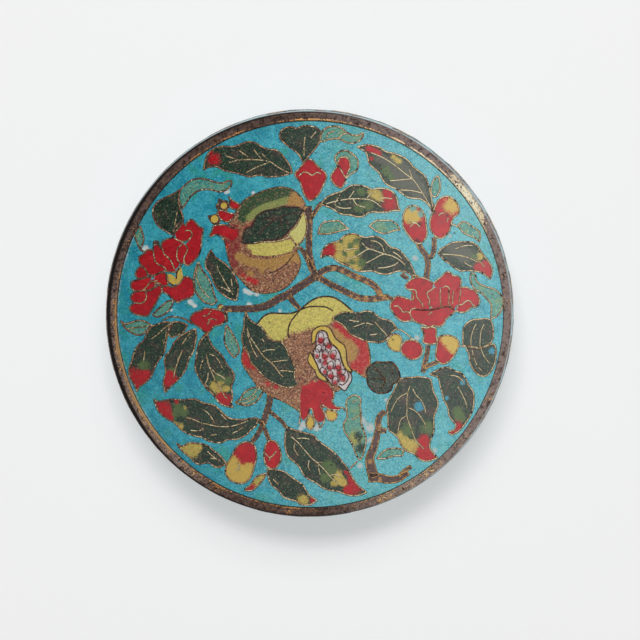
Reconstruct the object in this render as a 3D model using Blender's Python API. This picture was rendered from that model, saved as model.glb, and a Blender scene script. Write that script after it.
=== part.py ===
"""Round enamelled metal box with a lift-off lid, modelled in metres with +Z up.

Base and lid are two shallow drums turned about Z. Each is a metal shell with a raised rim round its
flat face and a metal band at its mouth. Enamel panels lie in recesses in the shells: one on the
lid's top, one round each side and one under the base. The base stands on its lower rim, and an
upright lip inside its mouth locates the lid. The origin is the centre of the ring it stands on.
"""

import math

import bmesh
import bpy

# Overall form
RIM_RADIUS = 0.0625
SWELL = 0.0015
LID_HEIGHT = 0.0215
BASE_HEIGHT = 0.0235

# Walls
METAL_THICK = 0.0014
ENAMEL_THICK = 0.0011

# The raised rim round each flat face
RIM_WIDTH = 0.0027
RIM_PROUD = 0.0008
RIM_ROUND = 0.0006
RIM_SIDE = 0.0019

# The metal band at each mouth
BAND_HEIGHT = 0.0021

# At its centre the lid's enamel stands higher than at its edge, and the underside's is ground hollow
LID_CROWN = 0.0006
UNDERSIDE_DISH = 0.0004

# The lip that locates the lid
LIP_RISE = 0.0042
LIP_DROP = 0.0022
LIP_THICK = 0.0012
LIP_CLEARANCE = 0.0004
LIP_CHAMFER = 0.0004

# Gaps between neighbouring pieces
SEAM_GAP = 0.0003
BED_GAP = 0.0002

# The rounded corner inside each drum
CORNER_RADIUS = 0.0030

# Facets
TURN_STEPS = 72
SIDE_STEPS = 3
FACE_RINGS = 2
CORNER_STEPS = 2

WALL_THICK = METAL_THICK + ENAMEL_THICK
FIELD_RADIUS = RIM_RADIUS - RIM_WIDTH


def side_radius(height, drum_height):
    """Outer radius of a drum at a height above its mouth: widest at the mouth, a quarter cosine to the rim."""
    share = min(max(height / drum_height, 0.0), 1.0)
    return RIM_RADIUS + SWELL * math.cos(share * math.pi / 2)


def face_line(height, radius, crown):
    """Points of a crowned face from its edge in to the axis: a shallow parabola about the field's edge."""
    line = []
    for ring in range(FACE_RINGS + 1):
        at = radius * (1.0 - ring / FACE_RINGS)
        line.append((at, height + crown * (1.0 - (at / FIELD_RADIUS) ** 2)))
    return line


def side_line(low, high, drum_height, inset):
    """Points up a drum's side from low to high, set in from its outer surface."""
    line = []
    for step in range(SIDE_STEPS + 1):
        height = low + (high - low) * step / SIDE_STEPS
        line.append((side_radius(height, drum_height) - inset, height))
    return line


def rim_line(drum_height):
    """Points over the raised rim, from its outer edge in to the edge of the face."""
    outer = side_radius(drum_height, drum_height)
    corner = RIM_ROUND * (1.0 - math.sqrt(0.5))
    return [
        (outer, drum_height - RIM_ROUND),
        (outer - corner, drum_height - corner),
        (outer - RIM_ROUND, drum_height),
        (FIELD_RADIUS + RIM_ROUND, drum_height),
        (FIELD_RADIUS, drum_height - RIM_PROUD),
    ]


def corner_line(ceiling, drum_height):
    """Points round the inside corner, from the wall in to the underside of the face."""
    start = ceiling - CORNER_RADIUS
    centre = side_radius(start, drum_height) - WALL_THICK - CORNER_RADIUS
    line = []
    for step in range(1, CORNER_STEPS + 1):
        angle = math.pi / 2 * step / CORNER_STEPS
        line.append((centre + CORNER_RADIUS * math.cos(angle), start + CORNER_RADIUS * math.sin(angle)))
    return line


def shell_profile(drum_height, mouth_line):
    """Half section of a drum's metal shell, mouth down: out along the mouth, up the side, over the rim
    and the flat bed of the face to the axis, then back under the face and down the inside."""
    bed = drum_height - RIM_PROUD - ENAMEL_THICK
    ceiling = bed - METAL_THICK
    outline = list(mouth_line)
    outline.append((side_radius(BAND_HEIGHT, drum_height), BAND_HEIGHT))
    outline += side_line(BAND_HEIGHT, drum_height - RIM_SIDE, drum_height, ENAMEL_THICK)
    outline.append((side_radius(drum_height - RIM_SIDE, drum_height), drum_height - RIM_SIDE))
    outline += rim_line(drum_height)
    outline += [(FIELD_RADIUS, bed), (0.0, bed), (0.0, ceiling)]
    outline += reversed(corner_line(ceiling, drum_height))
    wall_foot = mouth_line[0][1]
    outline += reversed(side_line(wall_foot, ceiling - CORNER_RADIUS, drum_height, WALL_THICK)[1:])
    return outline


def lid_profile():
    """The lid's mouth is one flat ring."""
    outer = side_radius(0.0, LID_HEIGHT)
    return shell_profile(LID_HEIGHT, [(outer - WALL_THICK, 0.0), (outer, 0.0)])


def base_profile():
    """The base's mouth carries the lip: from the wall in to the lip, up over it and out to the seat."""
    outer = side_radius(0.0, BASE_HEIGHT)
    lip_outer = outer - WALL_THICK - LIP_CLEARANCE
    lip_inner = lip_outer - LIP_THICK
    lip_foot = LIP_DROP + LIP_THICK
    wall_inner = side_radius(lip_foot, BASE_HEIGHT) - WALL_THICK
    mouth = [
        (wall_inner, lip_foot),
        (lip_inner, LIP_DROP),
        (lip_inner, -LIP_RISE),
        (lip_outer - LIP_CHAMFER, -LIP_RISE),
        (lip_outer, LIP_CHAMFER - LIP_RISE),
        (lip_outer, 0.0),
        (outer, 0.0),
    ]
    return shell_profile(BASE_HEIGHT, mouth)


def face_enamel_profile(drum_height, crown):
    """Half section of the panel in a flat face: its crowned top meets the foot of the rim."""
    top = drum_height - RIM_PROUD
    bottom = top - ENAMEL_THICK + BED_GAP
    edge = FIELD_RADIUS - BED_GAP
    return face_line(top, edge, crown)[::-1] + [(edge, bottom), (0.0, bottom)]


def side_enamel_profile(drum_height):
    """Half section of the panel round a side: flush with the metal above and below it."""
    low = BAND_HEIGHT + BED_GAP
    high = drum_height - RIM_SIDE - BED_GAP
    outer = side_line(low, high, drum_height, 0.0)
    inner = side_line(low, high, drum_height, ENAMEL_THICK - BED_GAP)
    return outer + inner[::-1]


def turned(name, profile, material, parent):
    """One closed body of revolution about Z from a half section in (radius, height)."""
    mesh = bpy.data.meshes.new(name)
    form = bmesh.new()
    corners = [form.verts.new((at, 0.0, height)) for at, height in profile]
    edges = [form.edges.new(pair) for pair in zip(corners, corners[1:])]
    if profile[0][0] > 0.0 and profile[-1][0] > 0.0:
        edges.append(form.edges.new((corners[-1], corners[0])))
    bmesh.ops.spin(
        form,
        geom=corners + edges,
        cent=(0.0, 0.0, 0.0),
        axis=(0.0, 0.0, 1.0),
        dvec=(0.0, 0.0, 0.0),
        angle=math.tau,
        steps=TURN_STEPS,
        use_merge=False,
        use_duplicate=False,
    )
    bmesh.ops.remove_doubles(form, verts=form.verts[:], dist=1e-6)
    bmesh.ops.recalc_face_normals(form, faces=form.faces[:])
    form.to_mesh(mesh)
    form.free()
    mesh.materials.append(material)
    mesh.shade_smooth()
    mesh.set_sharp_from_angle(angle=math.radians(35.0))
    piece = bpy.data.objects.new(name, mesh)
    bpy.context.scene.collection.objects.link(piece)
    piece.parent = parent
    return piece


def finish_of(name, colour, roughness, metallic):
    """A plain material with the finish's own colour, roughness and metallic value."""
    material = bpy.data.materials.new(name)
    material.use_nodes = True
    shader = material.node_tree.nodes["Principled BSDF"]
    shader.inputs["Base Color"].default_value = (*colour, 1.0)
    shader.inputs["Roughness"].default_value = roughness
    shader.inputs["Metallic"].default_value = metallic
    return material


def drum(name, height, turned_over):
    """The empty that carries one drum: its mouth plane, and which way its face looks."""
    carrier = bpy.data.objects.new(name, None)
    bpy.context.scene.collection.objects.link(carrier)
    carrier.location = (0.0, 0.0, height)
    if turned_over:
        carrier.rotation_euler = (math.pi, 0.0, 0.0)
    return carrier


def main():
    for old in list(bpy.data.objects):
        bpy.data.objects.remove(old, do_unlink=True)

    gilt = finish_of("gilt_copper", (0.30, 0.20, 0.12), 0.42, 1.0)
    turquoise = finish_of("turquoise_enamel", (0.06, 0.42, 0.48), 0.28, 0.0)

    # The base is modelled mouth down like the lid, then turned over, so that its face looks down.
    base = drum("base", BASE_HEIGHT, True)
    lid = drum("lid", BASE_HEIGHT + SEAM_GAP, False)

    turned("base_shell", base_profile(), gilt, base)
    turned("base_side_enamel", side_enamel_profile(BASE_HEIGHT), turquoise, base)
    turned("underside_enamel", face_enamel_profile(BASE_HEIGHT, -UNDERSIDE_DISH), turquoise, base)

    turned("lid_shell", lid_profile(), gilt, lid)
    turned("lid_side_enamel", side_enamel_profile(LID_HEIGHT), turquoise, lid)
    turned("lid_top_enamel", face_enamel_profile(LID_HEIGHT, LID_CROWN), turquoise, lid)


main()
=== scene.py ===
"""Looks of a round cloisonne enamel box: pomegranates, flowers and leaves on turquoise, in a worn gilt rim.

The picture on the lid is drawn in pixels of the 640 x 640 photograph, y down, and laid on the crowned lid
in metres. Each enamel cell is a thin closed body with a wire round it. The sides carry a running scroll.
"""
import math

import bpy
import numpy as np
from mathutils import Matrix, Vector


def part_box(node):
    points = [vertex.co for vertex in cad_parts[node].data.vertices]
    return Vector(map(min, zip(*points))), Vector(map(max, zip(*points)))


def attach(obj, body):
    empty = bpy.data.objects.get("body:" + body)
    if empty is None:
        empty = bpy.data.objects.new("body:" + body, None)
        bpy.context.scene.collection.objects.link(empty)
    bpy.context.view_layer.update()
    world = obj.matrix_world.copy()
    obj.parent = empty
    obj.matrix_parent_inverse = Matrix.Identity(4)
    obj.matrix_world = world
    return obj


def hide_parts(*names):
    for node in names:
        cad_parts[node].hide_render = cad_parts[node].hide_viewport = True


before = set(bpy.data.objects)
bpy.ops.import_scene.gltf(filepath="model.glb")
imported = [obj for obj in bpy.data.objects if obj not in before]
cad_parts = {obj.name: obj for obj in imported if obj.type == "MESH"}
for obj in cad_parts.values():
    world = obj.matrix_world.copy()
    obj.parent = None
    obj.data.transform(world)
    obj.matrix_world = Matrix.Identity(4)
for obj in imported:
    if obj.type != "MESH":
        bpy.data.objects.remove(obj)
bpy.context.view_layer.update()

# Sizes of the box, from the frame where it gives them
lid_low, lid_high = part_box("lid_shell")
field_low, field_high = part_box("lid_top_enamel")
base_low, base_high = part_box("base_shell")
underside_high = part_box("underside_enamel")[1]
SWELL = 0.0015
RIM_RADIUS = lid_high[0] - SWELL
RIM_WIDTH = 0.0027
RIM_PROUD = 0.0008
RIM_ROUND = 0.0006
INNER_ROUND = 0.00035
RIM_SIDE = 0.0019
BAND_HEIGHT = 0.0021
ENAMEL_THICK = 0.0011
METAL_THICK = 0.0014
WALL_THICK = METAL_THICK + ENAMEL_THICK
BED_GAP = 0.0002
CORNER_RADIUS = 0.0030
LIP_RISE = 0.0042
LIP_DROP = 0.0022
LIP_THICK = 0.0012
LIP_CLEARANCE = 0.0004
LIP_CHAMFER = 0.0004
UNDERSIDE_DISH = 0.0004
FIELD_RADIUS = RIM_RADIUS - RIM_WIDTH
LID_MOUTH, LID_CREST = lid_low[2], lid_high[2]
BASE_MOUTH, BASE_CREST = base_high[2] - LIP_RISE, base_low[2]
FIELD_EDGE = LID_CREST - RIM_PROUD
FIELD_CROWN = field_high[2] - FIELD_EDGE

# The rim is worn wider at the left: its inner edge is this far off centre
RIM_OFF_CENTRE = 0.0005

# The photograph's frame
PHOTO_CENTRE = (308.1, 314.7)
PHOTO_RADIUS = 202.5
PHOTO_WIDTH = 640
PIXEL = RIM_RADIUS / PHOTO_RADIUS

# Facets round the turned pieces
TURN_STEPS = 288

# Enamel and wire: spacings and widths in pixels, heights in metres over the ground
CELL_SPACING = 1.4
WIRE_SPACING = 1.1
SUNK = 0.00012
OUTLINE_HALF = 0.92
VEIN_HALF = 0.74
WIRE_PROUD = 0.00010
RAISE_STEP = 0.0000025
LAYERS = {
    "branches": 0.000020, "pale_leaves": 0.000026, "pomegranates": 0.000030, "yellow_cells": 0.000035,
    "red_cells": 0.000038, "dark_leaves": 0.000048, "seeds": 0.000050,
}


# Places on the box

def lid_face(flat, lift):
    """Photograph pixels to the lid's top: height falls with the square of the distance from the axis."""
    x = (flat[..., 0] - PHOTO_CENTRE[0]) * PIXEL
    y = (PHOTO_CENTRE[1] - flat[..., 1]) * PIXEL
    fall = (x * x + y * y) / FIELD_RADIUS ** 2
    return np.stack([x, y, FIELD_EDGE + FIELD_CROWN * (1.0 - fall) + lift], axis=-1)


def side_radius(height, mouth, crest):
    """A drum's outer radius: the rim's, and a quarter cosine of the swell that is full at the mouth."""
    share = np.clip((height - mouth) / (crest - mouth), 0.0, 1.0)
    return RIM_RADIUS + SWELL * np.cos(share * math.pi / 2)


def side_face(mouth, crest):
    """How a drum's side is drawn on: x is the distance round it and y the height from its middle."""
    middle = (mouth + crest) / 2

    def place(flat, lift):
        angle = flat[..., 0] * PIXEL / (RIM_RADIUS + SWELL)
        height = middle + flat[..., 1] * PIXEL
        radius = side_radius(height, mouth, crest) + lift
        return np.stack([radius * np.cos(angle), radius * np.sin(angle), height], axis=-1)

    return place


# Curves

def line(*numbers):
    """Points x, y written one after the other."""
    return np.reshape(np.array(numbers, dtype=float), (-1, 2))


def evenly(curve, count):
    """The curve read again at count places, evenly spaced along its length."""
    gaps = np.hypot(*np.diff(curve[:, :2], axis=0).T)
    along = np.concatenate([[0.0], np.cumsum(gaps)])
    places = np.linspace(0.0, along[-1], count)
    return np.column_stack([np.interp(places, along, column) for column in curve.T])


def length_of(curve):
    """The length of a curve in the plane."""
    return np.hypot(*np.diff(curve[:, :2], axis=0).T).sum()


def smooth(points, closed=False, spacing=1.0):
    """Catmull-Rom curve: between b and c it leaves along c - a and arrives along d - b."""
    points = np.asarray(points, dtype=float)
    if closed:
        guide = np.vstack([points[-1:], points, points[:2]])
    else:
        guide = np.vstack([2 * points[:1] - points[1:2], points, 2 * points[-1:] - points[-2:-1]])
    a, b, c, d = (guide[k:len(guide) - 3 + k, None] for k in range(4))
    t = np.linspace(0.0, 1.0, 10, endpoint=False)[None, :, None]
    bend = (2 * a - 5 * b + 4 * c - d) * t ** 2 / 2
    curve = b + (c - a) * t / 2 + bend + (3 * b - a - 3 * c + d) * t ** 3 / 2
    curve = np.vstack([curve.reshape(-1, points.shape[1]), guide[-2:-1]])
    return evenly(curve, max(round(length_of(curve) / spacing), 3) + 1)


def sides_of(outline, rounded):
    """Two smooth sides from one end of an outline to the other. Its ends are the points farthest apart,
    and they stay sharp unless the outline is rounded."""
    ring = smooth(outline, closed=True)[:-1] if rounded else outline
    apart = np.hypot(*(ring[:, None] - ring[None]).transpose(2, 0, 1))
    start, end = np.unravel_index(np.argmax(apart), apart.shape)
    ring = np.roll(ring, -start, axis=0)
    end = (end - start) % len(ring)
    sides = [ring[:end + 1], np.vstack([ring[end:], ring[:1]])[::-1]]
    if not rounded:
        sides = [smooth(side) for side in sides]
    count = max(round(max(length_of(side) for side in sides) / CELL_SPACING), 4) + 1
    return [evenly(side, count) for side in sides]


def strip_sides(centre):
    """Two sides of a strip whose centre line has a width in its third column."""
    tangent = np.gradient(centre[:, :2], axis=0)
    tangent /= np.hypot(*tangent.T)[:, None]
    normal = np.column_stack([-tangent[:, 1], tangent[:, 0]])
    return [centre[:, :2] + side * normal * centre[:, 2:] / 2 for side in (-1, 1)]


# Meshes

def ring_faces(runs, across, joined):
    """Faces of a body of rings: quads between rings, and a fan to a point at each end unless they join."""
    index = np.arange(runs * across).reshape(runs, across)
    ahead = np.roll(index, -1, axis=0) if joined else index[1:]
    behind = index if joined else index[:-1]
    quads = np.stack([behind, np.roll(behind, -1, axis=1), np.roll(ahead, -1, axis=1), ahead], axis=-1)
    faces = [quads.reshape(-1, 4)]
    if not joined:
        first, last = runs * across, runs * across + 1
        low, high = index[0], index[-1]
        faces.append(np.column_stack([np.full(across, first), np.roll(low, -1), low]))
        faces.append(np.column_stack([np.full(across, last), high, np.roll(high, -1)]))
    return faces


def facing_out(places, faces):
    """The faces turned so that the body's signed volume, summed over its triangles, is positive."""
    inner = places - places.mean(axis=0)
    volume = 0.0
    for kind in faces:
        a, b, c = inner[kind[:, 0]], inner[kind[:, 1]], inner[kind[:, 2]]
        volume += np.einsum("ij,ij->", a, np.cross(b, c))
        if kind.shape[1] == 4:
            volume += np.einsum("ij,ij->", a, np.cross(c, inner[kind[:, 3]]))
    return faces if volume > 0 else [kind[:, ::-1] for kind in faces]


class Heap:
    """Gathers closed bodies and the values on their vertices into one piece."""

    def __init__(self):
        self.places, self.faces, self.values, self.count = [], [], {}, 0

    def add(self, places, faces, **values):
        self.faces += [kind + self.count for kind in facing_out(places, faces)]
        self.places.append(places)
        self.count += len(places)
        for key, numbers in values.items():
            self.values.setdefault(key, []).append(np.broadcast_to(numbers, len(places)))

    def piece(self, name, material, slot, *nodes):
        """Makes the piece, which rides on the box and takes the place of the nodes named."""
        mesh = bpy.data.meshes.new(name)
        faces = [face for kind in self.faces for face in kind.tolist()]
        mesh.from_pydata(np.vstack(self.places).tolist(), [], faces)
        for key, numbers in self.values.items():
            layer = mesh.attributes.new(key, "FLOAT", "POINT")
            layer.data.foreach_set("value", np.concatenate(numbers).astype(np.float32))
        mesh.materials.append(material)
        mesh.shade_smooth()
        mesh.set_sharp_from_angle(angle=math.radians(40.0))
        made = bpy.data.objects.new(name, mesh)
        bpy.context.scene.collection.objects.link(made)
        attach(made, "root")
        for node in nodes:
            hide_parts(node)


def zone(flat, blobs):
    """How far inside round blobs (x, y, radius) a place is. Each adds the square of 1 - (d / 2r)², which is
    1 at its centre and about a half at its radius, so that neighbours run together."""
    if not blobs:
        return np.zeros(len(flat))
    x, y, radius = np.array(blobs, dtype=float).T[:, :, None]
    apart = np.hypot(flat[:, 0] - x, flat[:, 1] - y) / radius / 2
    return np.minimum((np.clip(1.0 - apart ** 2, 0.0, 1.0) ** 2).sum(axis=0), 1.3)


def run(radius, *numbers):
    """Blobs of one radius, evenly spaced along a line of points."""
    points = line(*numbers)
    return [(x, y, radius) for x, y in evenly(points, max(round(length_of(points) / radius), 2))]


def add_cell(heap, sides, face, lift, **zones):
    """An enamel cell: straight lines ruled from side to side, with a skirt sunk into what lies below."""
    first, second = sides
    widest = np.hypot(*(first - second).T).max()
    columns = int(np.clip(round(widest / CELL_SPACING), 2, 60)) + 1
    share = np.linspace(0.0, 1.0, columns)
    share = np.concatenate([share, [1.0, 0.0]])[None, :, None]
    rings = first[1:-1, None] * (1 - share) + second[1:-1, None] * share
    lifts = np.full(rings.shape[:2], lift)
    lifts[:, -2:] = -SUNK
    ends = (np.vstack([first[:1], first[-1:]]) + np.vstack([second[:1], second[-1:]])) / 2
    flat = np.vstack([rings.reshape(-1, 2), ends])
    lifts = np.concatenate([lifts.ravel(), [lift, lift]])
    values = {key: zone(flat, blobs) for key, blobs in zones.items()}
    places = face(flat, lifts)
    # Painted light: the cells are drawn brighter towards +x, as if lit from the right.
    values["Faded"] = places[:, 0] / RIM_RADIUS
    heap.add(places, ring_faces(*rings.shape[:2], joined=False), **values)


# A wire's section: places across it, in halves of its width, and how high each stands. The wire itself is
# the crest, and its flanks are the dark line where the enamel has shrunk from it.
WIRE_ACROSS = np.array([-1.0, -0.70, -0.46, 0.46, 0.70, 1.0, 1.0, -1.0])
WIRE_CREST = np.array([0.52, 0.58, 1.0, 1.0, 0.58, 0.52, -1.2, -1.2])


def add_wire(heap, path, face, half, closed=False, proud=WIRE_PROUD):
    """A flat wire on edge: its section carried along a path, square to it, standing this proud."""
    if closed:
        path = evenly(np.vstack([path, path[:1]]), max(round(length_of(path) / WIRE_SPACING), 8) + 1)[:-1]
        tangent = np.roll(path, -1, axis=0) - np.roll(path, 1, axis=0)
    else:
        path = evenly(path, max(round(length_of(path) / WIRE_SPACING), 3) + 1)
        tangent = np.gradient(path, axis=0)
    tangent /= np.maximum(np.hypot(*tangent.T), 1e-9)[:, None]
    normal = np.column_stack([-tangent[:, 1], tangent[:, 0]])
    rings = path[:, None] + half * WIRE_ACROSS[None, :, None] * normal[:, None]
    crests = np.broadcast_to(WIRE_CREST, rings.shape[:2])
    flat, crest = rings.reshape(-1, 2), crests.ravel()
    if not closed:
        tips = np.vstack([path[:1] - tangent[:1] * half * 0.6, path[-1:] + tangent[-1:] * half * 0.6])
        flat, crest = np.vstack([flat, tips]), np.concatenate([crest, [0.0, 0.0]])
    places = face(flat, crest * proud)
    x, y = places[:, 0] / RIM_RADIUS, places[:, 1] / RIM_RADIUS
    # Painted sheen: the lid's wires turn gold and cream towards the right and in a patch at the upper right,
    # where the light's reflection lies.
    rubbed_and_sheen = 0.6 * x - 0.3 * y + 0.8 * np.exp(-((x - 0.4) ** 2 + (y - 0.6) ** 2) / 0.35 ** 2)
    rubbed_and_sheen = rubbed_and_sheen if face is lid_face else np.zeros(len(places))
    heap.add(places, ring_faces(*rings.shape[:2], joined=closed), Crest=crest, Rubbed=rubbed_and_sheen)


# Shader nodes

def tone(red, green, blue):
    """A shown colour, 0 to 255, as the linear colour that a shader takes."""
    shown = np.array([red, green, blue]) / 255
    linear = np.where(shown <= 0.04045, shown / 12.92, ((shown + 0.055) / 1.055) ** 2.4)
    return (*linear.tolist(), 1.0)


class Nodes:
    """A short way to place shader nodes in one tree and join them."""

    def __init__(self, tree):
        self.tree = tree

    def put(self, kind, sockets, **settings):
        node = self.tree.nodes.new(kind)
        for key, value in settings.items():
            setattr(node, key, value)
        for key, value in sockets.items():
            if isinstance(value, bpy.types.NodeSocket):
                self.tree.links.new(value, node.inputs[key])
            else:
                node.inputs[key].default_value = value
        return node

    def join(self, result, socket):
        self.tree.links.new(result, socket)

    def place(self):
        return self.put("ShaderNodeTexCoord", {}).outputs["Object"]

    def math(self, operation, *values):
        return self.put("ShaderNodeMath", dict(enumerate(values)), operation=operation).outputs[0]

    def mix(self, share, under, over):
        return self.put("ShaderNodeMix", {0: share, 6: under, 7: over}, data_type="RGBA").outputs[2]

    def noise(self, scale, detail=3.0, roughness=0.6):
        sockets = {"Vector": self.place(), "Scale": scale, "Detail": detail, "Roughness": roughness}
        return self.put("ShaderNodeTexNoise", sockets).outputs["Fac"]

    def cells(self, scale):
        """Distance to the nearest of scattered points, and a random number for each point."""
        made = self.put("ShaderNodeTexVoronoi", {"Vector": self.place(), "Scale": scale})
        split = self.put("ShaderNodeSeparateColor", {0: made.outputs["Color"]})
        return made.outputs["Distance"], split.outputs[0]

    def rise(self, value, low, high, to_low=0.0, to_high=1.0):
        sockets = {"Value": value, "From Min": low, "From Max": high, "To Min": to_low, "To Max": to_high}
        return self.put("ShaderNodeMapRange", sockets, interpolation_type="SMOOTHSTEP").outputs["Result"]

    def value(self, name):
        return self.put("ShaderNodeAttribute", {}, attribute_name=name).outputs["Fac"]

    def use(self, tree, **sockets):
        node = self.put("ShaderNodeGroup", {}, node_tree=tree)
        for key, value in sockets.items():
            socket = node.inputs[key.replace("_", " ")]
            if isinstance(value, bpy.types.NodeSocket):
                self.tree.links.new(value, socket)
            else:
                socket.default_value = value
        return node.outputs


KINDS = {"colour": "NodeSocketColor", "number": "NodeSocketFloat"}

# How fine the enamel's specks, grain and pits are, and between what noise values a speck shows
LIGHT_SPECKS = 1900.0
DARK_SPECKS = 1650.0
GRAIN = 2000.0
PITS = 420.0
SPECK_SHOWS = (0.64, 0.80)
PIT_COLOUR = (40, 38, 36)


def group(name, inputs, outputs):
    """A new node group: its tree, the sockets that come in and the node that its results go to."""
    tree = bpy.data.node_groups.new(name, "ShaderNodeTree")
    for key, kind in inputs.items():
        tree.interface.new_socket(key, in_out="INPUT", socket_type=KINDS[kind])
    for key, kind in outputs.items():
        tree.interface.new_socket(key, in_out="OUTPUT", socket_type=KINDS[kind])
    nodes = Nodes(tree)
    return nodes, nodes.put("NodeGroupInput", {}).outputs, tree.nodes.new("NodeGroupOutput").inputs


def fired_glass():
    """Old opaque enamel: three tones in soft patches, light and dark grain, pits and chalky blooms, and a
    painted light that makes it brighter towards +x.
    """
    inputs = {"First": "colour", "Second": "colour", "Third": "colour", "Light speck": "colour",
              "Dark speck": "colour", "Lights": "number", "Darks": "number", "Patch scale": "number",
              "Grain": "number", "Faded": "number", "Chalk": "number", "Chalk colour": "colour"}
    outputs = {"Colour": "colour", "Roughness": "number", "Height": "number"}
    n, given, made = group("Fired glass", inputs, outputs)
    patch = n.rise(n.noise(given["Patch scale"], 5.0, 0.7), 0.40, 0.60)
    colour = n.mix(patch, given["First"], given["Second"])
    wide = n.noise(n.math("MULTIPLY", given["Patch scale"], 0.55), 4.0, 0.7)
    colour = n.mix(n.rise(wide, 0.50, 0.66), colour, given["Third"])
    light = n.rise(n.math("ADD", n.noise(LIGHT_SPECKS, 2.0, 0.7), given["Lights"]), *SPECK_SHOWS)
    colour = n.mix(light, colour, given["Light speck"])
    dark = n.rise(n.math("ADD", n.noise(DARK_SPECKS, 2.0, 0.7), given["Darks"]), *SPECK_SHOWS)
    colour = n.mix(dark, colour, given["Dark speck"])
    grain = n.noise(GRAIN, 2.0, 0.85)
    # Painted light: a fifth brighter at the right edge and a fifth darker at the left.
    painted_light = n.math("MULTIPLY_ADD", given["Faded"], 0.20, 1.0)
    grain_and_painted_light = n.math("MULTIPLY_ADD", n.math("SUBTRACT", grain, 0.5), given["Grain"], painted_light)
    colour = n.put("ShaderNodeVectorMath", {0: colour, 3: grain_and_painted_light}, operation="SCALE").outputs[0]
    near, chance = n.cells(PITS)
    pit = n.math("MULTIPLY", n.rise(near, 0.20, 0.08), n.rise(chance, 0.93, 0.95))
    colour = n.mix(n.math("MULTIPLY", pit, 0.7), colour, tone(*PIT_COLOUR))
    ragged = n.math("MULTIPLY_ADD", n.math("SUBTRACT", n.noise(800.0, 4.0, 0.75), 0.5), 1.3, given["Chalk"])
    chalk = n.math("MULTIPLY", n.rise(ragged, 0.35, 0.95), n.rise(given["Chalk"], 0.02, 0.3))
    colour = n.mix(chalk, colour, given["Chalk colour"])
    n.join(colour, made["Colour"])
    smoothness = n.rise(grain, 0.35, 0.7, 0.16, 0.26)
    n.join(n.math("ADD", smoothness, n.math("MULTIPLY", chalk, 0.3)), made["Roughness"])
    sunk = n.math("ADD", pit, n.math("MULTIPLY", chalk, 0.3))
    n.join(n.math("SUBTRACT", n.math("MULTIPLY", grain, 0.2), sunk), made["Height"])
    return n.tree


def ragged_zone():
    """One colour laid over another where a mask is over a half. Fine noise dithers the edge into specks."""
    n, given, made = group("Ragged zone", {"Under": "colour", "Over": "colour", "Mask": "number"},
                           {"Colour": "colour"})
    fine = n.math("MULTIPLY_ADD", n.math("SUBTRACT", n.noise(2200.0, 2.0, 0.8), 0.5), 1.6, given["Mask"])
    uneven = n.math("MULTIPLY_ADD", n.math("SUBTRACT", n.noise(560.0, 3.0, 0.75), 0.5), 1.0, fine)
    shown = n.math("MULTIPLY", n.rise(uneven, 0.22, 0.80), n.rise(given["Mask"], 0.02, 0.25))
    n.join(n.mix(shown, given["Under"], given["Over"]), made["Colour"])
    return n.tree


def old_metal():
    """Gilding worn to patina: bright metal where the mask and the noise are high, dark crust elsewhere. It
    also
    carries painted light: a cream highlight on the polished stretch, a black line of painted shade round the
    outer corner, and patina and gilt made paler where a painted sheen lies, as well as by their own tone.
    """
    inputs = {"Gilt": "colour", "Dull gilt": "colour", "Patina": "colour", "Dark patina": "colour",
              "Crust": "colour", "Mask": "number", "Polish": "number", "Soot": "number", "Fair": "number"}
    outputs = {"Colour": "colour", "Metallic": "number", "Roughness": "number", "Height": "number"}
    n, given, made = group("Old metal", inputs, outputs)
    broad, fine = n.noise(300.0, 5.0, 0.75), n.noise(1900.0, 2.0, 0.7)
    worn = n.math("ADD", n.math("MULTIPLY", broad, 0.45), n.math("MULTIPLY", fine, 0.55))
    off_middle = n.math("SUBTRACT", worn, 0.5)
    # Where the polished stretch and its painted highlight show, ragged at the edges.
    rubbed_and_sheen = n.math("MULTIPLY", n.math("MULTIPLY_ADD", off_middle, 8.0, 0.9), given["Polish"])
    shown = n.rise(n.math("MAXIMUM", n.math("ADD", off_middle, given["Mask"]), rubbed_and_sheen), 0.48, 0.54)
    # Dark to pale patina, and dull to bright gilt: partly the metal's own tone and partly a painted sheen,
    # palest at the right.
    patina = n.mix(given["Fair"], given["Dark patina"], given["Patina"])
    crusted = n.math("SUBTRACT", n.noise(620.0, 5.0, 0.85), n.math("MULTIPLY", given["Fair"], 0.05))
    under = n.mix(n.rise(crusted, 0.42, 0.58), patina, given["Crust"])
    # Painted shade: the rim's outer corner turns black, ragged by fine noise.
    corner_shade_mask = n.rise(n.math("MULTIPLY_ADD", n.math("SUBTRACT", fine, 0.5), 0.6, given["Soot"]), 0.3, 0.7)
    gilt = n.mix(given["Fair"], given["Dull gilt"], given["Gilt"])
    # Painted highlight: the polished stretch and the bead near it turn cream.
    gilt = n.mix(given["Polish"], gilt, tone(255, 246, 214))
    colour = n.mix(corner_shade_mask, n.mix(shown, under, gilt), tone(22, 17, 16))
    clean = n.math("MULTIPLY", shown, n.math("SUBTRACT", 1.0, corner_shade_mask))
    n.join(colour, made["Colour"])
    n.join(n.math("MULTIPLY", clean, n.rise(given["Polish"], 0.0, 1.0, 0.6, 0.5)), made["Metallic"])
    n.join(n.rise(clean, 0.0, 1.0, 0.62, 0.32), made["Roughness"])
    n.join(n.math("ADD", worn, n.math("MULTIPLY", fine, 0.4)), made["Height"])
    return n.tree


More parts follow.
